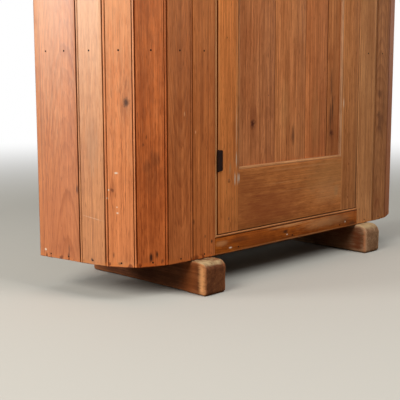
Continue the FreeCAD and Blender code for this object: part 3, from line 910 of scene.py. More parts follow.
class Workpiece:
    """One piece on the bench, shaped by edit-mode operators."""

    def __init__(self, name: str, low: Vector, high: Vector) -> None:
        """Add a block between two corners.

        Args:
            name: Name of the piece.
            low: Its lowest corner, in metres.
            high: Its highest corner.
        """
        clear_selection()
        bpy.ops.mesh.primitive_cube_add(size=1.0, location=(low + high) / 2, scale=high - low)
        self.object = bpy.context.object
        self.object.name = name
        self.object.data.name = name
        self.settle()

    @classmethod
    def block(cls, node: str) -> "Workpiece":
        """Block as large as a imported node."""
        return cls(f"{node}_piece", *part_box(node))

    @classmethod
    def adopt(cls, made: bpy.types.Object, name: str) -> "Workpiece":
        """Take an object that another primitive made on to the bench.

        Args:
            made: The object.
            name: Its name from now on.

        Returns:
            The workpiece.
        """
        work = cls.__new__(cls)
        work.object = made
        made.name = name
        made.data.name = name
        work.settle()
        return work

    def settle(self) -> None:
        """Move the object's place, turn and scale into its mesh."""
        self.select()
        bpy.ops.object.transform_apply(location=True, rotation=True, scale=True)

    def select(self) -> None:
        """Make this the only selected object, and the active one."""
        clear_selection()
        self.object.select_set(True)
        bpy.context.view_layer.objects.active = self.object

    @contextmanager
    def editing(self, mode: str = "EDGE") -> Iterator[bmesh.types.BMesh]:
        """Edit mode with nothing selected.

        Args:
            mode: Selection mode, VERT, EDGE or FACE.

        Yields:
            The edit mesh.
        """
        self.select()
        bpy.ops.object.mode_set(mode="EDIT")
        bpy.ops.mesh.select_mode(type=mode)
        bpy.ops.mesh.select_all(action="DESELECT")
        yield bmesh.from_edit_mesh(self.object.data)
        bpy.ops.object.mode_set(mode="OBJECT")

    def _pick(self, items: Sequence, test: Test) -> int:
        """Select the items whose middle passes a test, and count them."""
        count = 0
        for item in items:
            spots = [vertex.co for vertex in getattr(item, "verts", (item,))]
            if test(middle_of(spots), item):
                item.select_set(True)
                count += 1
        bmesh.update_edit_mesh(self.object.data)
        return count

    def slice(self, normal: Vector, *places: float) -> None:
        """Cut the whole mesh square to an axis at each of the places along it."""
        for place in places:
            self.cut(normal * place, normal)

    def cut(self, place: Vector, normal: Vector, clear: bool = False) -> None:
        """Cut the whole mesh with a plane.

        Args:
            place: A point of the plane.
            normal: Its normal.
            clear: True to drop what lies on the normal's side, and close the cut.
        """
        with self.editing("EDGE"):
            bpy.ops.mesh.select_all(action="SELECT")
            bpy.ops.mesh.bisect(
                plane_co=place,
                plane_no=normal,
                use_fill=clear,
                clear_outer=clear,
                threshold=ALIGNED,
            )

    def bevel(self, width: float, segments: int, test: Test) -> None:
        """Round the edges that pass a test.

        Args:
            width: Bevel offset, in metres.
            segments: Facets of the bevel.
            test: Told the edge's middle and the edge.
        """
        with self.editing("EDGE") as mesh:
            if self._pick(mesh.edges, test):
                bpy.ops.mesh.bevel(offset=width, segments=segments, affect="EDGES", clamp_overlap=True)

    def extrude(self, sweep: Vector, test: Test, resize: Vector | None = None) -> None:
        """Extrude the faces that pass a test.

        Args:
            sweep: Where they go, in metres.
            test: Told the face's middle and the face.
            resize: Scale of the moved faces, or None.
        """
        with self.editing("FACE") as mesh:
            if self._pick(mesh.faces, test):
                centre = middle_of([vertex.co for vertex in mesh.verts if vertex.select]) + sweep
                bpy.ops.mesh.extrude_region_move(TRANSFORM_OT_translate={"value": sweep})
                if resize is not None:
                    bpy.ops.transform.resize(value=resize, center_override=centre)

    def shift(self, sweep: Vector, test: Test) -> None:
        """Move the vertices that pass a test."""
        with self.editing("VERT") as mesh:
            if self._pick(mesh.verts, test):
                bpy.ops.transform.translate(value=sweep)

    def recalculate(self) -> None:
        """Turn every face outwards."""
        with self.editing("FACE"):
            bpy.ops.mesh.select_all(action="SELECT")
            bpy.ops.mesh.normals_make_consistent(inside=False)

    def place(self, spot: Vector, turn: float) -> None:
        """Turn the piece about Z and carry it to its place.

        Args:
            spot: Where its own origin goes.
            turn: Turn about Z, in radians.
        """
        self.object.rotation_euler = Euler((0.0, 0.0, turn))
        self.object.location = spot
        self.settle()

    def modify(self, kind: str, **settings: object) -> None:
        """Add a modifier and apply it.

        Args:
            kind: Modifier type.
            **settings: Its properties.
        """
        self.select()
        modifier = self.object.modifiers.new(kind.title(), kind)
        for name, value in settings.items():
            setattr(modifier, name, value)
        bpy.ops.object.modifier_apply(modifier=modifier.name)

    def displace(
        self, name: str, size: float, strength: float, group: str, direction: str = "NORMAL"
    ) -> None:
        """Push a vertex group in or out by a cloud texture.

        Args:
            name: Name of the texture.
            size: Size of the clouds, in metres.
            strength: Largest push, in metres.
            group: The vertex group.
            direction: Displace modifier's direction.
        """
        texture = bpy.data.textures.new(name, "CLOUDS")
        texture.noise_scale = size
        self.modify(
            "DISPLACE",
            texture=texture,
            texture_coords="LOCAL",
            direction=direction,
            strength=strength,
            mid_level=0.0,
            vertex_group=group,
        )

    def group(self, name: str, weight: Callable[[Vector], float]) -> None:
        """Vertex group weighted by place.

        Args:
            name: Name of the group.
            weight: Weight at a vertex's place.
        """
        group = self.object.vertex_groups.new(name=name)
        for vertex in self.object.data.vertices:
            share = weight(vertex.co)
            if share > 0:
                group.add([vertex.index], share, "REPLACE")

    def smooth(self, degrees: float = 35.0) -> None:
        """Smooth shading up to an angle."""
        self.select()
        bpy.ops.object.shade_smooth_by_angle(angle=math.radians(degrees))

    def finish(self, body: Body, material: bpy.types.Material, slot: str, *nodes: str) -> bpy.types.Object:
        """Dress the piece, let it ride and stand for its nodes.

        Args:
            body: Body that it rides on.
            material: Its material.
            slot: Not used.
            *nodes: CAD nodes that it stands for.

        Returns:
            The finished object.
        """
        self.object.data.materials.clear()
        self.object.data.materials.append(material)
        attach(self.object, body.value)
        if nodes:
            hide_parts(*nodes)
        faces = len(self.object.data.polygons)
        LOG.info("piece %s: %d faces on %s", self.object.name, faces, body.value)
        return self.object

    def dress(
        self, pine: PineFinish, grain: Grain, seed: int, node: str, heading: float = 0.0
    ) -> bpy.types.Object:
        """Finish the piece in pine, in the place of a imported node.

        Args:
            pine: The finish, which also says the body and the slot.
            grain: Which way the grain runs.
            seed: Number that places the figure.
            node: CAD node that it stands for.
            heading: Turn that brings its face square to the front, in radians about Z.

        Returns:
            The finished object.
        """
        material = pine.material(self.object, grain, heading, seed)
        return self.finish(pine.body, material, pine.slot, node)


def middle_of(spots: Sequence[Vector]) -> Vector:
    """Mean of some places."""
    return sum(spots, Vector()) / len(spots)


def mirrored(vector: Vector) -> Vector:
    """The same place or direction on the other side of the cupboard."""
    return Vector((-vector.x, vector.y, vector.z))


# ---- plan of the case ----------------------------------------------------------------------------
@dataclass(frozen=True)
class CasePlan:
    """Plan of the case's upright boards, from the door's opening outwards to the rear."""

    opening: float
    front: float
    rear: float
    base: float
    top: float
    board: float = 20.0 * MM
    stave_face: float = 80.0 * MM
    side_face: float = 142.0 * MM
    turns: tuple[float, ...] = (0.0, 3.6, 18.8, 37.8, 17.6, 4.4)
    bead: float = 6.2 * MM
    quirk: float = 1.7 * MM
    joint: float = 0.5 * MM
    back: float = 16.0 * MM

    @classmethod
    def from_frame(cls) -> "CasePlan":
        """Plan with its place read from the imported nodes."""
        rail_low, rail_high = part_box("bottom_rail")
        stave_low, stave_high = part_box("left_stave_1")
        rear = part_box("back_board_1")[1].y
        return cls(rail_high.x, rail_low.y, rear, stave_low.z, stave_high.z)

    @property
    def length(self) -> float:
        """Length of the upright boards."""
        return self.top - self.base

    @property
    def faces(self) -> list[float]:
        """Face width of each board of one side."""
        return [self.stave_face] * (len(self.turns) - 1) + [self.side_face]

    @property
    def headings(self) -> list[float]:
        """Heading of each board's face, in radians from the front."""
        return [math.radians(sum(self.turns[: index + 1])) for index in range(len(self.turns))]

    def outward(self, index: int) -> Vector:
        """Unit vector out of a left board's face."""
        heading = self.headings[index]
        return Vector((-math.sin(heading), -math.cos(heading), 0.0))

    def corners(self) -> list[Vector]:
        """Joints between the outer faces of the left side."""
        spots = [Vector((-self.opening, self.front, 0.0))]
        for heading, face in zip(self.headings, self.faces):
            spots.append(spots[-1] + Vector((-math.cos(heading), math.sin(heading), 0.0)) * face)
        return spots


# ---- bench tests ---------------------------------------------------------------------------------
def upright_line(across: float) -> Test:
    """Test for the upright edges at one place across a board's face.

    Args:
        across: X of the edges; the face is at Y = 0.

    Returns:
        The test.
    """

    def test(spot: Vector, edge: object) -> bool:
        """True for an upright edge on the face, at that place."""
        first, second = (vertex.co for vertex in edge.verts)
        upright = abs(first.x - second.x) < NEAR and abs(first.y - second.y) < NEAR
        return upright and abs(spot.y) < NEAR and abs(spot.x - across) < NEAR

    return test


def plan_spot(across: float, depth: float) -> Test:
    """Test for the vertices at one place of a board's plan."""
    return lambda spot, _: abs(spot.x - across) < NEAR and abs(spot.y - depth) < NEAR


def long_edges(axis: int, least: float = 30 * MM) -> Test:
    """Test for edges that run a long way along an axis."""

    def test(_: Vector, edge: object) -> bool:
        """True for an edge parallel to the axis and long enough."""
        run = edge.verts[1].co - edge.verts[0].co
        return abs(run[axis]) > least and run.length - abs(run[axis]) < ALIGNED

    return test


def plank(node: str, arris: float) -> Workpiece:
    """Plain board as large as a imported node, with all its edges eased.

    Args:
        node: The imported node.
        arris: Size of the eased edges.

    Returns:
        The piece on the bench.
    """
    work = Workpiece.block(node)
    work.bevel(arris, 2, lambda spot, edge: True)
    work.smooth()
    return work


def mitred_strip(node: str, side: FrameSide) -> Workpiece:
    """Strip of a mitred frame, its ends cut at 45 degrees towards the middle of the frame.

    Args:
        node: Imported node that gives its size.
        side: Which side of the frame it is.

    Returns:
        The piece on the bench.
    """
    low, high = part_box(node)
    work = Workpiece.block(node)
    across, along, inner = side.across, side.along, side.inner(low, high)
    direction = UPWARD if side.upright else RIGHTWARD
    width = (high - low)[across]
    for end, inward in ((low[along], width), (high[along], -width)):

        def on_corner(spot: Vector, _: object, end: float = end) -> bool:
            """True for the inner corner at this end."""
            return abs(spot[across] - inner) < NEAR and abs(spot[along] - end) < NEAR

        work.shift(direction * inward, on_corner)
    return work


def dress_node(node: str, material: bpy.types.Material) -> None:
    """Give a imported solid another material."""
    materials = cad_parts[node].data.materials
    materials.clear()
    materials.append(material)


@dataclass(frozen=True)
class Studs:
    """Round heads that stand a little proud of the wood: nails and pegs."""

    radius: float
    proud: float = 0.35 * MM
    depth: float = 3.0 * MM
    sides: int = 8

    def build(self, name: str, places: list[tuple[Vector, Vector]]) -> Workpiece:
        """Model one head, copy it to every place and join the copies.

        Args:
            name: Name of the joined piece.
            places: Where each head meets the wood, and its outward direction.

        Returns:
            The joined piece.
        """
        clear_selection()
        height = self.depth + self.proud
        bpy.ops.mesh.primitive_cylinder_add(vertices=self.sides, radius=self.radius, depth=height)
        pattern = Workpiece.adopt(bpy.context.object, name)
        pattern.bevel(self.proud * 0.8, 1, lambda spot, _: spot.z > self.depth / 2)
        first = pattern.object
        copies = []
        for place, outward in places:
            copy = bpy.data.objects.new(name, first.data.copy())
            bpy.context.scene.collection.objects.link(copy)
            turn = outward.to_track_quat("Z", "Y").to_matrix().to_4x4()
            copy.matrix_world = Matrix.Translation(place - outward * (height / 2 - self.proud)) @ turn
            copies.append(copy)
        bpy.data.objects.remove(first)
        for copy in copies:
            copy.select_set(True)
        bpy.context.view_layer.objects.active = copies[0]
        bpy.ops.object.join()
        return Workpiece.adopt(bpy.context.object, name)


# ---- case ----------------------------------------------------------------------------------------
@dataclass(frozen=True)
class BoardLook:
    """Beads, figure and wear of one upright board."""

    node: str
    finish: PineFinish
    right_finish: PineFinish
    near_bead: bool = False
    far_bead: bool = False
    splits: tuple[tuple[float, float, float], ...] = ()

    def finish_on(self, side: Side) -> PineFinish:
        """Finish of the board on one side of the case."""
        return self.finish if side is Side.LEFT else self.right_finish


# The bleach marks on the left side's boards are painted sheen: their upper parts made paler.
BOARD_LOOKS = (
    BoardLook(
        "stave_1",
        replace(
            STAVE_PINE,
            tone=srgb(190, 106, 51),
            ring=3.0 * MM,
            seams=(0.5, 0.7),
            marks=(
                bleach(0.08),
                stain(9, 319, 2.4, 4.5, 0.8, PALE_CHIP),
                stain(42, 55, 4, 6, 0.6),
                stain(66, 39, 4, 7, 0.95, CHAR_AND_SHADE),
                stain(2, 97, 3, 8, 0.95, CHAR_AND_SHADE),
                stain(0, 46, 1.6, 60, 0.9, CHAR_AND_SHADE),
            ),
        ),
        replace(STAVE_PINE, tone=srgb(182, 120, 71), seams=(0.2, 0.6), marks=(stain(11, 45, 3, 5),)),
    ),
    BoardLook(
        "stave_2",
        replace(
            STAVE_PINE,
            tone=srgb(183, 101, 50),
            seams=(0.8, 0.4),
            pith=0.0,
            pith_depth=75 * MM,
            rise=-0.075,
            marks=(
                bleach(0.12),
                stain(53, 364, 2.4, 7, 0.8, PALE_CHIP),
                stain(36, 370, 14, 50, 0.35, RED_WOOD),
                stain(79, 97, 2, 7, 0.9, CHAR_AND_SHADE),
            ),
        ),
        replace(
            STAVE_PINE,
            tone=srgb(164, 103, 58),
            contrast=0.6,
            seams=(0.5, 0.85),
            pith=-6.0 * MM,
            pith_depth=60 * MM,
            rise=0.09,
            knots=(knot(31, 392, 13.0, 0.45), knot(27, 332, 10.0, 0.4)),
            marks=(
                stain(36, 300, 16, 50, 0.5),
                stain(58, 330, 12, 90, 0.3),
                stain(30, 60, 24, 40, 0.3, RED_WOOD),
            ),
        ),
        near_bead=True,
    ),
    BoardLook(
        "stave_3",
        replace(
            STAVE_PINE,
            tone=srgb(194, 100, 46),
            patina_share=0.7,
            mottle=0.3,
            marks=(
                bleach(0.12),
                stain(26, 313, 3, 7),
                stain(18, 295, 3, 5),
                stain(44, 215, 26, 60, 0.3),
                stain(49, 259, 15, 22, 0.4),
                stain(27, 243, 11, 18, 0.35),
                stain(35, 24, 5, 14, 0.95, CHAR_AND_SHADE),
                stain(50, 29, 4, 11, 0.85, CHAR_AND_SHADE),
                stain(64, 12, 5, 7, 0.7),
            ),
        ),
        replace(STAVE_PINE, tone=srgb(164, 96, 52)),
        near_bead=True,
    ),
    BoardLook(
        "stave_4",
        replace(
            STAVE_PINE,
            tone=srgb(209, 123, 69),
            specular=0.45,
            roughness=0.46,
            streak=0.2,
            seams=(0.7, 1.0),
            knots=(knot(57, 395, 9.5), knot(19, 187, 5.0, 0.7)),
            marks=(
                bleach(0.35),
                stain(57, 395, 7, 8, 0.75, DARK_KNOT),
                stain(30, 228, 5, 2.6, 0.95, PALE_DIRT),
                stain(31, 132, 4, 2.4, 0.9, PALE_DIRT),
                stain(30, 146, 2.2, 2.2, 0.7, PALE_DIRT),
                fleck(6, 167),
                fleck(10, 187, 2.2),
                stain(71, 346, 3, 22, 0.4, PALE_WOOD),
                stain(20, 29, 3, 9, 0.7),
                stain(35, 8, 6, 5, 0.95, CHAR_AND_SHADE),
                stain(40, 4, 44, 16, 0.4, PALE_WOOD),
            ),
        ),
        replace(STAVE_PINE, tone=srgb(198, 124, 78)),
        near_bead=True,
        far_bead=True,
    ),
    BoardLook(
        "stave_5",
        replace(
            STAVE_PINE,
            tone=srgb(189, 120, 70),
            specular=0.8,
            roughness=0.42,
            streak=0.2,
            seams=(1.0, 0.8),
            marks=(
                bleach(0.5),
                # A greyish haze over the middle of the board.
                stain(43, 288, 24, 70, 0.4, GREY_HAZE),
                stain(37, 12, 4, 5, 0.9, CHAR_AND_SHADE),
                stain(10, 6, 4, 5, 0.7),
                replace(stain(43, 115, 34, 1.0, 0.4, PALE_DIRT), tilt=-0.147),
            ),
        ),
        replace(STAVE_PINE, tone=srgb(200, 132, 86)),
        far_bead=True,
    ),
    BoardLook(
        "side_board",
        replace(
            STAVE_PINE,
            tone=srgb(188, 110, 60),
            specular=0.8,
            roughness=0.42,
            contrast=0.5,
            streak=0.18,
            ring=4.5 * MM,
            pith=31 * MM,
            pith_depth=75 * MM,
            rise=0.075,
            marks=(
                bleach(0.4),
                stain(70, 60, 90, 150, 0.3, srgb(186, 96, 46)),
                stain(102, 10, 4.5, 16, 1.0, CHAR_AND_SHADE),
                stain(104, 30, 3, 14, 0.7, CHAR_AND_SHADE),
                stain(24, 4, 4.5, 9, 1.0, CHAR_AND_SHADE),
                stain(17, 300, 4, 330, 0.3),
                stain(137, 182, 5, 12, 0.8),
                stain(21, 19, 4.5, 3.5, 0.9, PALE_DIRT),
            ),
        ),
        replace(
            STAVE_PINE,
            tone=srgb(196, 126, 84),
            ring=4.5 * MM,
            pith=20 * MM,
            pith_depth=70 * MM,
            rise=-0.06,
        ),
        splits=((24 * MM, 5 * MM, 9 * MM), (103 * MM, 5 * MM, 13 * MM)),
    ),
)


@dataclass(frozen=True)
class UprightBoards:
    """The staves and the wide side board that make one rounded side of the case."""

    plan: CasePlan
    side: Side
    arris: float = 0.9 * MM
    groove: float = 3.1 * MM
    bead_round: float = 0.42
    foot_wear: float = 3.0 * MM
    foot_patch: float = 35.0 * MM
    cuts_across: int = 7
    cuts_up: tuple[float, float] = (4.5 * MM, 15.0 * MM)
    split_depth: float = 9.0 * MM
    split_taper: float = 0.45
    clear_of_face: float = 1.0 * MM
    clear_of_foot: float = 2.0 * MM

    def build(self) -> list[bpy.types.Object]:
        """Make and dress the six boards of this side."""
        made = []
        for index, look in enumerate(BOARD_LOOKS):
            work = self._shape(index, look)
            turn = self.plan.headings[index] * self.side.value
            work.place(self._origin(index), turn)
            seed = Lot[f"{self.side.name}_SIDE"].seed(index)
            pine = look.finish_on(self.side)
            made.append(work.dress(pine, Grain.UPRIGHT, seed, self._name(look), -turn))
        return made

    def _name(self, look: BoardLook) -> str:
        """Name of a board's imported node."""
        return f"{self.side.name.lower()}_{look.node}"

    def _origin(self, index: int) -> Vector:
        """Where a board's own origin stands: at its left end, seen from outside."""
        corners = self.plan.corners()
        spot = corners[index + 1] if self.side is Side.LEFT else mirrored(corners[index])
        return spot + UPWARD * self.plan.base

    def _shape(self, index: int, look: BoardLook) -> Workpiece:
        """Cut one board flat on the bench, its face at Y = 0 and its left end at X = 0."""
        plan = self.plan
        width = plan.faces[index]
        low, high = plan.joint, width - plan.joint
        far_corner = Vector((high, plan.board, plan.length))
        work = Workpiece(f"{self._name(look)}_piece", RIGHTWARD * low, far_corner)
        ends = [(look.far_bead, self._slope(index + 1)), (look.near_bead, self._slope(index))]
        if self.side is Side.RIGHT:
            ends.reverse()
        for place, inward, (beaded, slope) in zip((low, high), (1, -1), ends):
            if beaded:
                self._bead(work, place, inward)
            else:
                work.bevel(self.arris, 2, upright_line(place))
            work.shift(RIGHTWARD * (inward * plan.board * slope), plan_spot(place, plan.board))
        self._wear_foot(work, width)
        for across, breadth, rise in look.splits:
            self._split(work, across, breadth, rise)
        work.smooth()
        return work

    def _slope(self, index: int) -> float:
        """Mitre slope of the joint that a board's near end makes."""
        turns = self.plan.turns
        return math.tan(math.radians(turns[index]) / 2) if index < len(turns) else 0.0

    def _bead(self, work: Workpiece, end: float, inward: int) -> None:
        """Run a bead and its quirk along one edge of the face."""
        inner = end + inward * self.plan.bead
        far = inner + inward * self.plan.quirk
        work.slice(RIGHTWARD, inner, far)
        left, right = sorted((inner, far))

        def in_quirk(spot: Vector, face: object) -> bool:
            """True for the strip of the face between the bead and the flat."""
            return face.normal.y < -FACING and left < spot.x < right

        work.extrude(BACKWARD * self.groove, in_quirk)
        lines = (upright_line(end), upright_line(inner))
        work.bevel(
            self.bead_round * self.plan.bead,
            3,
            lambda spot, edge: any(line(spot, edge) for line in lines),
        )

    def _wear_foot(self, work: Workpiece, width: float) -> None:
        """Break the straight line of the board's foot with uneven wear."""
        work.slice(RIGHTWARD, *(width * step / self.cuts_across for step in range(1, self.cuts_across)))
        work.slice(UPWARD, *self.cuts_up)
        work.group("foot", lambda spot: 1.0 if spot.z < self.foot_wear else 0.0)
        work.displace("foot_wear", self.foot_patch, self.foot_wear, "foot", direction="Z")

    def _split(self, work: Workpiece, across: float, breadth: float, rise: float) -> None:
        """Split a wedge out of the board's foot.

        Args:
            work: The board on the bench.
            across: Place of the split, from the board's rear edge.
            breadth: Width of the split at the foot.
            rise: Height of its point.
        """
        spot = across if self.side is Side.LEFT else self.plan.side_face - across
        low = Vector((spot - breadth / 2, -self.clear_of_face, -self.clear_of_foot))
        high = Vector((spot + breadth / 2, self.split_depth, rise))
        wedge = Workpiece("wedge", low, high)
        point = RIGHTWARD * (self.split_taper * breadth)
        wedge.shift(-point, lambda place, _: place.x > spot and place.z > 0)
        wedge.shift(point, lambda place, _: place.x < low.x + NEAR and place.z > 0)
        work.modify("BOOLEAN", operation="DIFFERENCE", solver="EXACT", object=wedge.object)
        bpy.data.objects.remove(wedge.object)


@dataclass(frozen=True)
class FrontRails:
    """Rails above and below the door, and the bead strips that line the opening."""

    arris: float = 1.1 * MM
    nose: float = 2.7 * MM

    def build(self) -> list[bpy.types.Object]:
        """Make and dress the rails and the strips."""
        made = []
        finish = replace(
            CASE_PINE,
            name="rail",
            tone=srgb(158, 80, 22),
            specular=0.1,
            ring=4.0 * MM,
            contrast=0.75,
            streak=0.18,
            sway=9 * MM,
            mottle=0.65,
            knots=(
                knot(30, 400, 8, 0.15, 2.0),
                knot(18, 490, 9, 0.2, 2.0),
                knot(20, 567, 6, 0.6, 2.0),
            ),
            marks=(
                stain(2, 320, 4, 420, 0.6, PALE_WOOD),
                stain(24, 150, 30, 170, 0.5, srgb(150, 74, 22)),
                stain(29, 24, 9, 28, 0.5, PALE_WOOD),
                stain(44, 300, 9, 110, 0.8, PALE_WOOD),
                stain(30, 470, 20, 130, 0.6, PALE_WOOD),
                stain(25, 284, 6, 14, 0.9),
                stain(37, 232, 2.5, 30, 0.7),
                stain(14, 170, 8, 60, 0.5, RED_WOOD),
                stain(30, 90, 8, 50, 0.5),
                stain(26, 530, 28, 90, 0.3, srgb(110, 62, 26)),
                stain(10, 600, 8, 20, 0.6),
                stain(13, 57, 2.6, 6.5, 0.95, PALE_DIRT),
                stain(16, 289, 2.2, 4, 0.9, PALE_DIRT),
                fleck(17, 565),
            ),
        )
        plain = replace(finish, marks=(), knots=())
        for index, (node, pine) in enumerate((("bottom_rail", finish), ("top_rail", plain))):
            work = plank(node, self.arris)
            made.append(work.dress(pine, Grain.LEVEL, Lot.RAILS.seed(index), node))
        made += [self._strip(side, Lot.OPENING_BEADS.seed(index)) for index, side in enumerate(FrameSide)]
        return made

    def _strip(self, side: FrameSide, seed: int) -> bpy.types.Object:
        """One bead strip with mitred ends and a rounded nose."""
        node = f"opening_bead_{side.value}"
        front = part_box(node)[0].y
        work = mitred_strip(node, side)
        along = long_edges(side.along)
        work.bevel(self.nose, 4, lambda spot, edge: along(spot, edge) and spot.y < front + NEAR)
        work.smooth(60)
        tone = srgb(208, 138, 84) if side.upright else srgb(194, 124, 72)
        seams = (0.15, 0.15) if side.upright else (0.7, 0.1)
        finish = replace(CASE_PINE, name="bead", tone=tone, wear=0.4, seams=seams)
        return work.dress(finish, side.grain, seed, node)


@dataclass(frozen=True)
class LevelBoards:
    """Floor, shelves and top rib, sawn to the inside of the rounded case."""

    plan: CasePlan
    nodes: tuple[str, ...] = ("floor_board", "shelf_lower", "shelf_middle", "shelf_upper", "top_rib")
    arris: float = 0.6 * MM
    sharp_angle: float = 1.0

    def build(self) -> list[bpy.types.Object]:
        """Make and dress the level boards."""
        made = []
        finish = replace(INSIDE_PINE, name="shelf", ring=5.5 * MM)
        for index, node in enumerate(self.nodes):
            work = Workpiece.block(node)
            trim_to_plan(work, self.plan, -self.plan.board)
            work.bevel(self.arris, 1, lambda spot, edge: edge.calc_face_angle(0.0) > self.sharp_angle)
            work.smooth()
            made.append(work.dress(finish, Grain.LEVEL_FLAT, Lot.LEVEL_BOARDS.seed(index), node))
        return made

    def centres(self) -> list[float]:
        """Heights of the middles of the level boards."""
        return [middle_of(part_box(node)).z for node in self.nodes]


def trim_to_plan(work: Workpiece, plan: CasePlan, distance: float) -> None:
    """Saw a level board to lines parallel with the case's rounded sides.

    Args:
        work: The board on the bench.
        plan: Plan of the case.
        distance: How far outside the boards' faces the lines run.
    """
    corners = plan.corners()
    for index in range(1, len(plan.faces)):
        outward = plan.outward(index)
        spot = corners[index] + outward * distance
        work.cut(spot, outward, clear=True)
        work.cut(mirrored(spot), mirrored(outward), clear=True)


@dataclass(frozen=True)
class TopBoard:
    """Top of the case, overhanging, with a fair curve at its corners and a rounded nose."""

    plan: CasePlan
    overhang: float = 16.0 * MM
    corner: float = 34.0 * MM
    nose: float = 7.6 * MM
    nail_room: float = 0.4 * MM

    def build(self) -> bpy.types.Object:
        """Make and dress the top."""
        low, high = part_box("top_board")
        high.z -= self.nail_room
        work = Workpiece("top_board_piece", low, high)
        trim_to_plan(work, self.plan, self.overhang)
        upright = long_edges(2, 20 * MM)
        work.bevel(self.corner, 5, lambda spot, edge: upright(spot, edge) and spot.y < high.y - NEAR)

        def on_nose(spot: Vector, edge: object) -> bool:
            """True for the upper and lower outline, apart from the back."""
            level = abs(edge.verts[0].co.z - edge.verts[1].co.z) < NEAR
            return level and spot.y < high.y - NEAR

        work.bevel(self.nose, 4, on_nose)
        work.smooth(40)
        finish = replace(CASE_PINE, name="top", ring=5.0 * MM, groove_grime_and_shade=0.0)
        return work.dress(finish, Grain.LEVEL_FLAT, Lot.TOP_BOARD.seed(), "top_board")


@dataclass(frozen=True)
class Back:
    """The upright boards that close the case behind."""

    plan: CasePlan
    arris: float = 1.4 * MM
    tones: tuple[Colour, ...] = (
        srgb(178, 136, 92),
        srgb(190, 150, 106),
        srgb(168, 126, 84),
        srgb(184, 142, 96),
        srgb(174, 134, 94),
    )

    def build(self) -> list[bpy.types.Object]:
        """Make and dress the back boards."""
        made = []
        last = len(self.plan.faces) - 1
        outward = self.plan.outward(last)
        spot = self.plan.corners()[last] - outward * self.plan.board
        for index, tone in enumerate(self.tones):
            node = self.node(index)
            work = Workpiece.block(node)
            if index == 0:
                work.cut(spot, outward, clear=True)
            if index == self.count - 1:
                work.cut(mirrored(spot), mirrored(outward), clear=True)
            work.bevel(self.arris, 1, long_edges(2))
            work.smooth()
            finish = replace(
                INSIDE_PINE,
                name="back",
                tone=tone,
                ring=6.0 * MM,
                sway=8 * MM,
                streak=0.42,
                seams=(0.85, 0.85),
                pith=(index * 37 % 90 - 45) * MM,
                rise=0.05,
                knots=self._knots(index),
            )
            made.append(work.dress(finish, Grain.UPRIGHT, Lot.BACK_BOARDS.seed(index), node))
        return made

    @property
    def count(self) -> int:
        """Number of the boards."""
        return len(self.tones)

    def node(self, index: int) -> str:
        """Name of a board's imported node."""
        return f"back_board_{index + 1}"

    def _knots(self, index: int) -> tuple[Knot, ...]:
        """A few knots for one back board."""
        draw = random.Random(Lot.BACK_KNOTS.seed(index))
        ranges = ((30, 210), (100, 1200), (7, 13))
        return tuple(knot(*(draw.uniform(*limits) for limits in ranges)) for _ in range(3))


@dataclass(frozen=True)
class Battens:
    """The two battens that stop the door."""

    arris: float = 1.0 * MM

    def build(self) -> list[bpy.types.Object]:
        """Make and dress the battens."""
        made = []
        finish = replace(INSIDE_PINE, name="batten")
        for index, node in enumerate(("door_stop_bottom", "door_stop_top")):
            work = plank(node, self.arris)
            made.append(work.dress(finish, Grain.LEVEL, Lot.BATTENS.seed(index), node))
        return made


@dataclass(frozen=True)
class RunnerLook:
    """Rounding and wear of one runner."""

    node: str
    side_round: float
    finish: PineFinish


RUNNER_LOOKS = (
    RunnerLook(
        "runner_left",
        6.0 * MM,
        replace(
            RUNNER_PINE,
            marks=(
                stain(0, 52, 3.0, 40, 0.4, srgb(168, 86, 32)),
                # Pale band at the front end of the side: wear, and a painted highlight where the side
                # faces the light.
                stain(0, 11, 6.0, 15, 1.0, srgb(244, 172, 110)),
                stain(9, 0, 1.8, 6, 0.8, CHAR_AND_SHADE),
            ),
        ),
    ),
    RunnerLook(
        "runner_right",
        9.0 * MM,
        replace(
            RUNNER_PINE,
            tone=srgb(146, 108, 76),
            wear=0.35,
            dust=0.7,
            rounded_end=27.0 * MM,
            marks=(
                stain(0, 110, 3.0, 110, 0.6, srgb(122, 58, 18)),
                stain(0, 30, 2.4, 26, 0.8, srgb(116, 52, 16)),
                stain(0, 4, 5.0, 8, 0.75, srgb(188, 98, 44)),
            ),
        ),
    ),
)


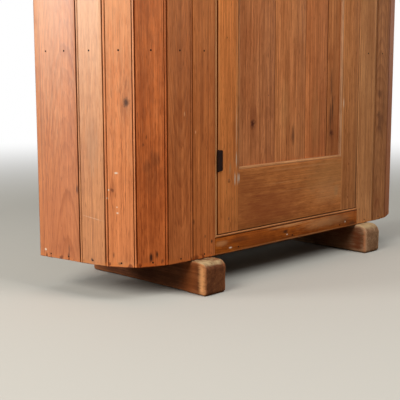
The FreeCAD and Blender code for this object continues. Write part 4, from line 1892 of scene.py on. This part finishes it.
@dataclass(frozen=True)
class Runners:
    """The two runner feet, worn round at their ends."""

    toe_round: float = 8.0 * MM
    voxel: float = 2.6 * MM
    hollow: float = 2.0 * MM
    pad: float = 44.0 * MM
    worn_length: float = 60.0 * MM
    sole: float = 1.0 * MM
    dents: tuple[tuple[str, float, float], ...] = (
        ("dents", 30.0 * MM, 2.6 * MM),
        ("bruises", 9.0 * MM, 0.91 * MM),
    )

    def build(self) -> list[bpy.types.Object]:
        """Make and dress both runners."""
        return [self._runner(index, look) for index, look in enumerate(RUNNER_LOOKS)]

    def _runner(self, index: int, look: RunnerLook) -> bpy.types.Object:
        """Shape one runner and wear it."""
        low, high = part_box(look.node)
        work = Workpiece.block(look.node)
        across = long_edges(0)
        for size, segments, level in (
            (look.finish.rounded_end, 8, high.z),
            (self.toe_round, 4, low.z),
        ):

            def on_level(spot: Vector, edge: object, level: float = level) -> bool:
                """True for the two ends' edges at this level."""
                return across(spot, edge) and abs(spot.z - level) < NEAR

            work.bevel(size, segments, on_level)

        def on_side(spot: Vector, _: object) -> bool:
            """True for the edges round the runner's two sides."""
            return min(abs(spot.x - low.x), abs(spot.x - high.x)) < NEAR

        work.bevel(look.side_round, 3, on_side)
        self._hollow_sole(work, low, high)
        work.modify("REMESH", mode="VOXEL", voxel_size=self.voxel, use_smooth_shade=True)
        self._wear(work, low, high)
        work.smooth(60)
        return work.dress(look.finish, Grain.FRONT_TO_BACK, Lot.RUNNERS.seed(index), look.node)

    def _hollow_sole(self, work: Workpiece, low: Vector, high: Vector) -> None:
        """Raise the sole between the toes, where it is rubbed away."""
        near, far = low.y + self.pad, high.y - self.pad
        work.slice(BACKWARD, near, near + self.pad, far - self.pad, far)
        start, end = near + self.pad / 2, far - self.pad / 2
        work.shift(
            UPWARD * self.hollow,
            lambda spot, _: spot.z < low.z + self.pad / 2 and start < spot.y < end,
        )

    def _wear(self, work: Workpiece, low: Vector, high: Vector) -> None:
        """Dent the runner's ends, and keep its top and sole flat between them."""

        def near_end(spot: Vector) -> float:
            """Share of wear: full at the ends, none in the middle or on the sole."""
            away = min(spot.y - low.y, high.y - spot.y)
            share = max(0.0, 1.0 - away / self.worn_length)
            return share if spot.z > low.z + self.sole else 0.0

        work.group("ends", near_end)
        for name, size, depth in self.dents:
            work.displace(name, size, -depth, "ends")


@dataclass(frozen=True)
class Nails:
    """Heads of the nails that hold the case together."""

    plan: CasePlan
    levels: LevelBoards
    back: Back
    head: Studs = Studs(2.4 * MM)
    in_narrow: tuple[float, ...] = (0.5,)
    in_wide: tuple[float, ...] = (0.28, 0.72)
    wide: float = 100.0 * MM
    along_rails: tuple[float, ...] = (-0.72, 0.0, 0.72)
    along_top: tuple[float, ...] = (-1.6, -0.6, 0.6, 1.6)
    top_from_front: float = 110.0 * MM
    top_from_rear: float = 60.0 * MM
    foot_from_end: float = 70.0 * MM
    across_back: tuple[float, ...] = (-0.32, 0.32)

    def build(self, iron: bpy.types.Material) -> list[bpy.types.Object]:
        """Make and dress the nails of the front and those of the back.

        Args:
            iron: Material of the nails.

        Returns:
            The two pieces.
        """
        front = self.head.build("stave_nails_piece", self._side_places() + self._front_places())
        back = self.head.build("back_nails_piece", self._back_places())
        return [
            front.finish(Body.CASE, iron, "iron", "stave_nails"),
            back.finish(Body.CASE, iron, "iron", "back_nails"),
        ]

    def _side_places(self) -> list[tuple[Vector, Vector]]:
        """Place and outward direction of every nail of both sides."""
        places = []
        corners = self.plan.corners()
        for index, face in enumerate(self.plan.faces):
            outward = self.plan.outward(index)
            for share in self.in_wide if face > self.wide else self.in_narrow:
                foot = corners[index].lerp(corners[index + 1], share)
                for height in self.levels.centres():
                    spot = foot + UPWARD * height
                    places += [(spot, outward), (mirrored(spot), mirrored(outward))]
        return places

    def _front_places(self) -> list[tuple[Vector, Vector]]:
        """Nails of the front's rails, the top and the feet."""
        plan = self.plan
        centres = self.levels.centres()
        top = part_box("top_board")[1].z - TopBoard.nail_room
        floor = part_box("floor_board")[1].z
        places = []
        for share in self.along_rails:
            for height in (centres[0], centres[-1]):
                places.append((Vector((plan.opening * share, plan.front, height)), -BACKWARD))
        for share in self.along_top:
            for depth in (plan.front + self.top_from_front, plan.rear - self.top_from_rear):
                places.append((Vector((plan.opening * share, depth, top)), UPWARD))
        for look in RUNNER_LOOKS:
            foot = middle_of(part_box(look.node)).x
            for depth in (plan.front + self.foot_from_end, plan.rear - self.foot_from_end):
                places.append((Vector((foot, depth, floor)), UPWARD))
        return places

    def _back_places(self) -> list[tuple[Vector, Vector]]:
        """Place and outward direction of every nail of the back."""
        places = []
        low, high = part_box(self.back.node(1))
        width = high.x - low.x + 2 * self.plan.joint
        for index in range(self.back.count):
            middle = width * (index - (self.back.count - 1) / 2)
            for share in self.across_back:
                for height in self.levels.centres():
                    spot = Vector((middle + width * share, self.plan.rear, height))
                    places.append((spot, BACKWARD))
        return places


# ---- door ----------------------------------------------------------------------------------------
STILE_LOOKS = {
    "door_hinge_stile": replace(
        DOOR_PINE,
        name="stile",
        tone=srgb(214, 125, 62),
        wear=0.25,
        seams=(0.9, 0.0),
        marks=(
            stain(4.5, 400, 2.4, 400, 0.6, PALE_WOOD),
            stain(42, 132, 5, 4, 0.7, srgb(104, 44, 18)),
            stain(65, 137, 3, 20, 0.7, PALE_DIRT),
            stain(75, 137, 2.5, 17, 0.6, PALE_DIRT),
            stain(70, 186, 2.4, 28, 0.8, PALE_DIRT),
            stain(70, 270, 2.4, 70, 0.4, PALE_DIRT),
            stain(62, 250, 6, 100, 0.4, RED_WOOD),
            stain(71, 420, 3.0, 400, 0.4, PALE_WOOD),
            # Painted shadow: dark lines down the inner edge, where the stile shades the recessed panel.
            stain(77, 250, 3.0, 130, 1.0, CHAR_AND_SHADE),
            stain(77, 560, 3.0, 300, 1.0, CHAR_AND_SHADE),
            stain(46, 164, 5, 20, 0.7, PALE_WOOD),
        ),
    ),
    "door_lock_stile": replace(
        DOOR_PINE,
        name="stile",
        tone=srgb(187, 117, 65),
        seams=(0.0, 0.35),
        marks=(
            stain(4, 270, 5, 200, 0.5, PALE_WOOD),
            stain(5, 316, 2, 16, 0.8, PALE_DIRT),
            stain(0, 390, 2.2, 60, 0.9, CHAR_AND_SHADE),
            stain(71, 130, 2.6, 200, 0.4, PALE_WOOD),
            # Painted shade: a dark line down the outer edge, in the gap beside the case, strongest low
            # down.
            stain(76.5, 80, 3.4, 120, 1.0, CHAR_AND_SHADE),
        ),
    ),
}
PANEL_PINE = replace(
    DOOR_PINE,
    name="panel",
    tone=srgb(189, 114, 65),
    contrast=0.32,
    streak=0.34,
    sway=1.2 * MM,
    patina_share=0.8,
)
PANEL_LOOKS = (
    replace(
        PANEL_PINE,
        ring=4.2 * MM,
        pith=52 * MM,
        pith_depth=70 * MM,
        rise=0.08,
        knots=(knot(73, 121, 11.0, 1.0, 4.0),),
    ),
    replace(
        PANEL_PINE,
        tone=srgb(195, 119, 67),
        marks=(stain(80, 83, 7, 32, 0.7), stain(40, 160, 22, 90, 0.25, OLIVE_WOOD)),
    ),
    replace(PANEL_PINE, tone=srgb(192, 113, 62), marks=(stain(50, 120, 26, 120, 0.25, OLIVE_WOOD),)),
    replace(
        PANEL_PINE,
        tone=srgb(174, 104, 56),
        seams=(1.0, 0.5),
        knots=(knot(24, 79, 10.0, 0.8, 4.0),),
        marks=(
            stain(19, 130, 4.5, 60, 0.75, CHAR_AND_SHADE),
            stain(28, 150, 4.5, 50, 0.75, CHAR_AND_SHADE),
            stain(22, 215, 6, 60, 0.6),
            stain(66, 30, 12, 40, 0.45, PALE_WOOD),
        ),
    ),
)
RAIL_MARKS = (
    stain(44, 200, 70, 200, 0.65, RED_WOOD),
    stain(124, 100, 50, 110, 0.4, RED_WOOD),
    stain(138, 80, 14, 4, 0.6, PALE_DIRT),
    stain(62, 508, 18, 14, 0.35, srgb(150, 130, 90)),
    stain(48, 527, 20, 2.5, 0.4, PALE_WOOD),
    stain(112, 480, 60, 150, 0.45, OLIVE_WOOD),
    stain(64, 470, 40, 90, 0.35, PALE_WOOD),
    stain(110, 260, 1.2, 90, 0.5, PALE_WOOD),
    stain(84, 330, 1.0, 120, 0.4, PALE_WOOD),
    stain(146, 360, 3.0, 200, 0.35, PALE_WOOD),
)


@dataclass(frozen=True)
class Door:
    """Framed door: stiles, rails with through tenons, panel boards, mouldings and pegs."""

    rails: tuple[FrameSide, ...] = (FrameSide.BOTTOM, FrameSide.TOP)
    arris: float = 1.0 * MM
    proud: float = 0.3 * MM
    shoulder: float = 20.0 * MM
    housing: float = 8.0 * MM
    tenon_set: float = 7.5 * MM
    tenon: float = 7.0 * MM
    moulding_round: float = 3.0 * MM
    moulding_looks: tuple[tuple[Colour, tuple[float, float]], ...] = (
        # The left moulding is darker and darkened along its low edge: soiling, and painted shade of the
        # recess.
        (srgb(176, 112, 68), (1.0, 0.3)),
        (srgb(192, 136, 94), (0.0, 0.5)),
        (srgb(196, 134, 84), (0.5, 0.5)),
        (srgb(188, 124, 78), (0.5, 0.5)),
    )
    peg: Studs = Studs(4.0 * MM, proud=0.25 * MM, sides=14)
    peg_from_edge: float = 42.0 * MM
    peg_in_tenon: float = 16.0 * MM

    def build(self) -> list[bpy.types.Object]:
        """Make and dress the door's wood."""
        made = [self._stile(index, node) for index, node in enumerate(STILE_LOOKS)]
        made += [self._rail(index, side) for index, side in enumerate(self.rails)]
        made += [self._panel_board(index, look) for index, look in enumerate(PANEL_LOOKS)]
        made += [self._moulding(index, side) for index, side in enumerate(FrameSide)]
        made.append(self._pegs())
        return made

    def _stile(self, index: int, node: str) -> bpy.types.Object:
        """One upright of the frame."""
        work = plank(node, self.arris)
        return work.dress(STILE_LOOKS[node], Grain.UPRIGHT, Lot.STILES.seed(index), node)

    def _tenon_heights(self, side: FrameSide) -> tuple[float, float]:
        """Heights between which a rail's tenons run."""
        low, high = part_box(f"door_{side.value}_rail")
        if side is FrameSide.BOTTOM:
            return low.z + self.shoulder, high.z - self.housing
        return low.z + self.housing, high.z - self.shoulder

    def _rail(self, index: int, side: FrameSide) -> bpy.types.Object:
        """One rail of the frame, with a tenon through each stile."""
        node = f"door_{side.value}_rail"
        low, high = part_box(node)
        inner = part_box("door_lock_stile")[0].x
        corners = (Vector((-inner, low.y, low.z)), Vector((inner, high.y, high.z)))
        work = Workpiece(f"{node}_piece", *corners)
        work.bevel(self.arris, 2, long_edges(0))
        tenon_low, tenon_high = self._tenon_heights(side)
        front = low.y + self.tenon_set
        back = front + self.tenon
        work.slice(BACKWARD, front, back)
        work.slice(UPWARD, tenon_low, tenon_high)
        for way in (-1, 1):

            def on_end(spot: Vector, face: object, way: int = way) -> bool:
                """True for the part of the shoulder that the tenon grows from."""
                inside = front < spot.y < back and tenon_low < spot.z < tenon_high
                return face.normal.x * way > FACING and inside

            work.extrude(RIGHTWARD * (way * (high.x - inner + self.proud)), on_end)
        work.smooth()
        finish = replace(
            DOOR_PINE,
            name="door_rail",
            tone=srgb(184, 110, 54),
            ring=6.0 * MM,
            contrast=0.26,
            streak=0.2,
            mottle=0.32,
            sway=6 * MM,
            marks=RAIL_MARKS if side is FrameSide.BOTTOM else (),
        )
        return work.dress(finish, Grain.LEVEL, Lot.DOOR_RAILS.seed(index), node)

    def _panel_board(self, index: int, look: PineFinish) -> bpy.types.Object:
        """One upright board of the panel."""
        node = f"door_panel_board_{index + 1}"
        work = Workpiece.block(node)
        work.bevel(self.arris, 2, long_edges(2))
        work.smooth()
        return work.dress(look, Grain.UPRIGHT, Lot.PANEL_BOARDS.seed(index), node)

    def _moulding(self, index: int, side: FrameSide) -> bpy.types.Object:
        """One small moulding between the frame and the panel, with a rounded inner edge."""
        node = f"door_moulding_{side.value}"
        low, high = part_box(node)
        work = mitred_strip(node, side)
        along, inner = long_edges(side.along), side.inner(low, high)

        def on_arris(spot: Vector, edge: object) -> bool:
            """True for the long front edge next to the panel."""
            in_front = spot.y < low.y + NEAR
            return along(spot, edge) and in_front and abs(spot[side.across] - inner) < NEAR

        work.bevel(self.moulding_round, 5, on_arris)
        work.smooth(60)
        tone, seams = self.moulding_looks[index]
        finish = replace(DOOR_PINE, name="moulding", tone=tone, wear=0.6, mottle=0.5, seams=seams)
        return work.dress(finish, side.grain, Lot.MOULDINGS.seed(index), node)

    def _pegs(self) -> bpy.types.Object:
        """Heads of the pegs, on the front and the back of the door."""
        low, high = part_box("door_lock_stile")
        places = []
        for rail in self.rails:
            tenon_low, tenon_high = self._tenon_heights(rail)
            for height in (tenon_low + self.peg_in_tenon, tenon_high - self.peg_in_tenon):
                for way in (-1, 1):
                    across = way * (high.x - self.peg_from_edge)
                    places.append((Vector((across, low.y, height)), -BACKWARD))
                    places.append((Vector((across, high.y, height)), BACKWARD))
        work = self.peg.build("door_pegs_piece", places)
        finish = replace(DOOR_PINE, name="peg", tone=srgb(172, 102, 56), wear=0.0, seams=(0.1, 0.1))
        return work.dress(finish, Grain.UPRIGHT, Lot.PEGS.seed(), "door_pegs")


# ---- metalwork and latch -------------------------------------------------------------------------
@dataclass(frozen=True)
class Ironwork:
    """Hinges, screws, rose, spindle and tongue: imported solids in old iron."""

    nodes: tuple[str, ...] = (
        "hinge_lower_case_leaf",
        "hinge_lower_door_leaf",
        "hinge_lower_pin",
        "hinge_upper_case_leaf",
        "hinge_upper_door_leaf",
        "hinge_upper_pin",
        "case_hinge_screws",
        "door_hinge_screws",
        "latch_rose",
        "latch_spindle",
        "latch_tongue",
    )

    def build(self, iron: bpy.types.Material) -> None:
        """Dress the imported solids.

        Args:
            iron: Their material.
        """
        for node in self.nodes:
            dress_node(node, iron)
            LOG.info("node %s: dressed", node)


@dataclass(frozen=True)
class Knob:
    """Turned knob, drawn up ring by ring from a disc. The profile is (out, radius), in millimetres."""

    profile: tuple[tuple[float, float], ...] = (
        (0.0, 9.9),
        (1.2, 10.0),
        (4.0, 9.2),
        (8.0, 7.8),
        (11.5, 7.5),
        (14.5, 9.2),
        (17.5, 12.3),
        (20.5, 14.9),
        (24.0, 16.0),
        (27.5, 15.1),
        (30.2, 12.6),
        (32.0, 8.6),
        (32.8, 4.6),
        (33.0, 1.4),
    )
    sides: int = 40
    flat: float = 0.01 * MM

    def build(self) -> bpy.types.Object:
        """Turn and dress the knob."""
        low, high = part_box("latch_knob")
        middle = middle_of((low, high))
        clear_selection()
        bpy.ops.mesh.primitive_circle_add(
            vertices=self.sides,
            radius=self.profile[0][1] * MM,
            fill_type="NGON",
            location=(middle.x, high.y, middle.z),
            rotation=FACING_FRONT,
        )
        work = Workpiece.adopt(bpy.context.object, "latch_knob_piece")
        for (out, radius), (next_out, next_radius) in zip(self.profile, self.profile[1:]):
            ratio = next_radius / radius
            plane = high.y - out * MM

            def on_top(spot: Vector, _: object, plane: float = plane) -> bool:
                """True for the disc that ends the turned part."""
                return abs(spot.y - plane) < self.flat

            step = BACKWARD * ((out - next_out) * MM)
            work.extrude(step, on_top, Vector((ratio, 1.0, ratio)))
        work.recalculate()
        work.smooth(50)
        return work.finish(Body.LATCH, TurnedFinish().material(), "turned_wood", "latch_knob")


# ---- studio --------------------------------------------------------------------------------------
@dataclass(frozen=True)
class Lamp:
    """One soft area lamp."""

    name: str
    place: tuple[float, float, float]
    size: float
    power: float
    colour: Colour = (1.0, 1.0, 1.0)


@dataclass(frozen=True)
class Studio:
    """Pale floor, white surround, soft lamps and the camera.

    Places and sizes are in metres. The camera's turn is its heading, its dip and its roll, in degrees.
    """

    floor_size: float = 60.0
    floor_colour: Colour = srgb(192, 189, 180)
    floor_bounce: Colour = srgb(110, 104, 94)
    floor_fade: tuple[float, float] = (1.2, 4.5)
    aim: tuple[float, float, float] = (-0.1, 0.0, 0.55)
    lamps: tuple[Lamp, ...] = (
        Lamp("key_lamp", (-4.1, -0.6, 3.0), 2.2, 148.0, (1.0, 0.985, 0.955)),
        Lamp("window_lamp", (-4.1, 2.3, 1.8), 1.2, 108.0),
        Lamp("front_lamp", (0.4, -2.7, 3.4), 2.0, 86.0),
        Lamp("over_lamp", (0.3, 0.4, 3.8), 3.0, 30.0),
    )
    world_strength: float = 0.12
    flag_place: tuple[float, float, float] = (-0.0077, 0.158, 0.0415)
    flag_size: tuple[float, float] = (0.622, 0.081)
    flag_colour: Colour = (0.02, 0.02, 0.02)
    camera_place: tuple[float, float, float] = (-1.9089, -1.6896, 0.5612)
    camera_turn: tuple[float, float, float] = (45.4386, 8.5961, -0.123)
    lens: float = 79.25
    sensor: float = 36.0

    def build(self) -> None:
        """Set up the floor, the light and the camera."""
        self._floor()
        self._world()
        for lamp in self.lamps:
            self._lamp(lamp)
        self._flag()
        self._camera()
        bpy.context.scene.view_settings.view_transform = "Standard"

    def _floor(self) -> None:
        """Pale floor that keeps the shadow near the cupboard and turns white far away."""
        clear_selection()
        bpy.ops.mesh.primitive_plane_add(size=self.floor_size, location=(0.0, 0.0, 0.0))
        floor = bpy.context.object
        floor.name = "studio_floor"
        material, graph = new_material("floor_paint")
        reach = graph.add("ShaderNodeVectorMath", operation="LENGTH")
        graph.feed(reach.inputs[0], graph.source("ShaderNodeTexCoord", "Object"))
        seen = graph.source("ShaderNodeLightPath", "Is Camera Ray")
        paint = graph.shader(
            "ShaderNodeBsdfPrincipled",
            Base_Color=graph.mix(seen, self.floor_bounce, self.floor_colour),
            Roughness=0.9,
            Specular_IOR_Level=0.1,
        )
        white = graph.shader("ShaderNodeEmission", Strength=1.0)
        blend = graph.add("ShaderNodeMixShader")
        share = graph.step(graph.out(reach, "Value"), *self.floor_fade) * seen
        for socket, value in zip(blend.inputs, (share, paint, white)):
            graph.feed(socket, value)
        graph.close("ShaderNodeOutputMaterial", graph.out(blend))
        floor.data.materials.append(material)

    def _world(self) -> None:
        """Soft surround that looks white to the camera and in gloss."""
        world = bpy.data.worlds.new("surround")
        world.use_nodes = True
        bpy.context.scene.world = world
        graph = Graph(world.node_tree)
        path = graph.add("ShaderNodeLightPath")
        seen, through, glossy = (
            graph.out(path, f"Is {kind} Ray") for kind in ("Camera", "Transmission", "Glossy")
        )
        plain = seen.most(through).most(glossy)
        strength = plain * (1.0 - self.world_strength) + self.world_strength
        light = graph.shader("ShaderNodeBackground", Color=(1.0, 1.0, 1.0), Strength=strength)
        graph.close("ShaderNodeOutputWorld", light)

    def _lamp(self, lamp: Lamp) -> None:
        """One area lamp, turned towards the middle of the cupboard."""
        data = bpy.data.lights.new(lamp.name, "AREA")
        data.shape = "SQUARE"
        data.size = lamp.size
        data.energy = lamp.power
        data.color = lamp.colour
        made = bpy.data.objects.new(lamp.name, data)
        bpy.context.scene.collection.objects.link(made)
        made.location = lamp.place
        made.rotation_euler = (Vector(self.aim) - Vector(lamp.place)).to_track_quat("-Z", "Y").to_euler()

    def _flag(self) -> None:
        """Dark card, unseen by the camera, that keeps the light behind the case from getting under it."""
        clear_selection()
        bpy.ops.mesh.primitive_plane_add(size=1.0, location=self.flag_place, rotation=FACING_FRONT)
        card = bpy.context.object
        card.name = "studio_flag"
        card.scale = (*self.flag_size, 1.0)
        card.visible_camera = False
        material, graph = new_material("flag_cloth")
        cloth = graph.shader("ShaderNodeBsdfDiffuse", Color=self.flag_colour)
        graph.close("ShaderNodeOutputMaterial", cloth)
        card.data.materials.append(material)

    def _camera(self) -> None:
        """Camera at its solved place and turn."""
        yaw, pitch, roll = (math.radians(angle) for angle in self.camera_turn)
        ahead = Vector((math.sin(yaw), math.cos(yaw), 0.0))
        forward = math.cos(pitch) * ahead - math.sin(pitch) * UPWARD
        level = Vector((math.cos(yaw), -math.sin(yaw), 0.0))
        upward = level.cross(forward)
        right = math.cos(roll) * level + math.sin(roll) * upward
        top = -math.sin(roll) * level + math.cos(roll) * upward
        data = bpy.data.cameras.new("camera")
        data.lens = self.lens
        data.sensor_width = self.sensor
        camera = bpy.data.objects.new("camera", data)
        bpy.context.scene.collection.objects.link(camera)
        turn = Matrix((right, top, -forward)).transposed().to_4x4()
        camera.matrix_world = Matrix.Translation(self.camera_place) @ turn
        bpy.context.scene.camera = camera


def main() -> None:
    """Build every sub-assembly, then the studio."""
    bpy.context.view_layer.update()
    plan = CasePlan.from_frame()
    levels = LevelBoards(plan)
    back = Back(plan)
    iron = IronFinish().material()

    for side in Side:
        UprightBoards(plan, side).build()
    FrontRails().build()
    levels.build()
    TopBoard(plan).build()
    back.build()
    Battens().build()
    Runners().build()
    Nails(plan, levels, back).build(iron)
    Door().build()
    Ironwork().build(iron)
    Knob().build()
    Studio().build()


if __name__ == "__main__":
    main()
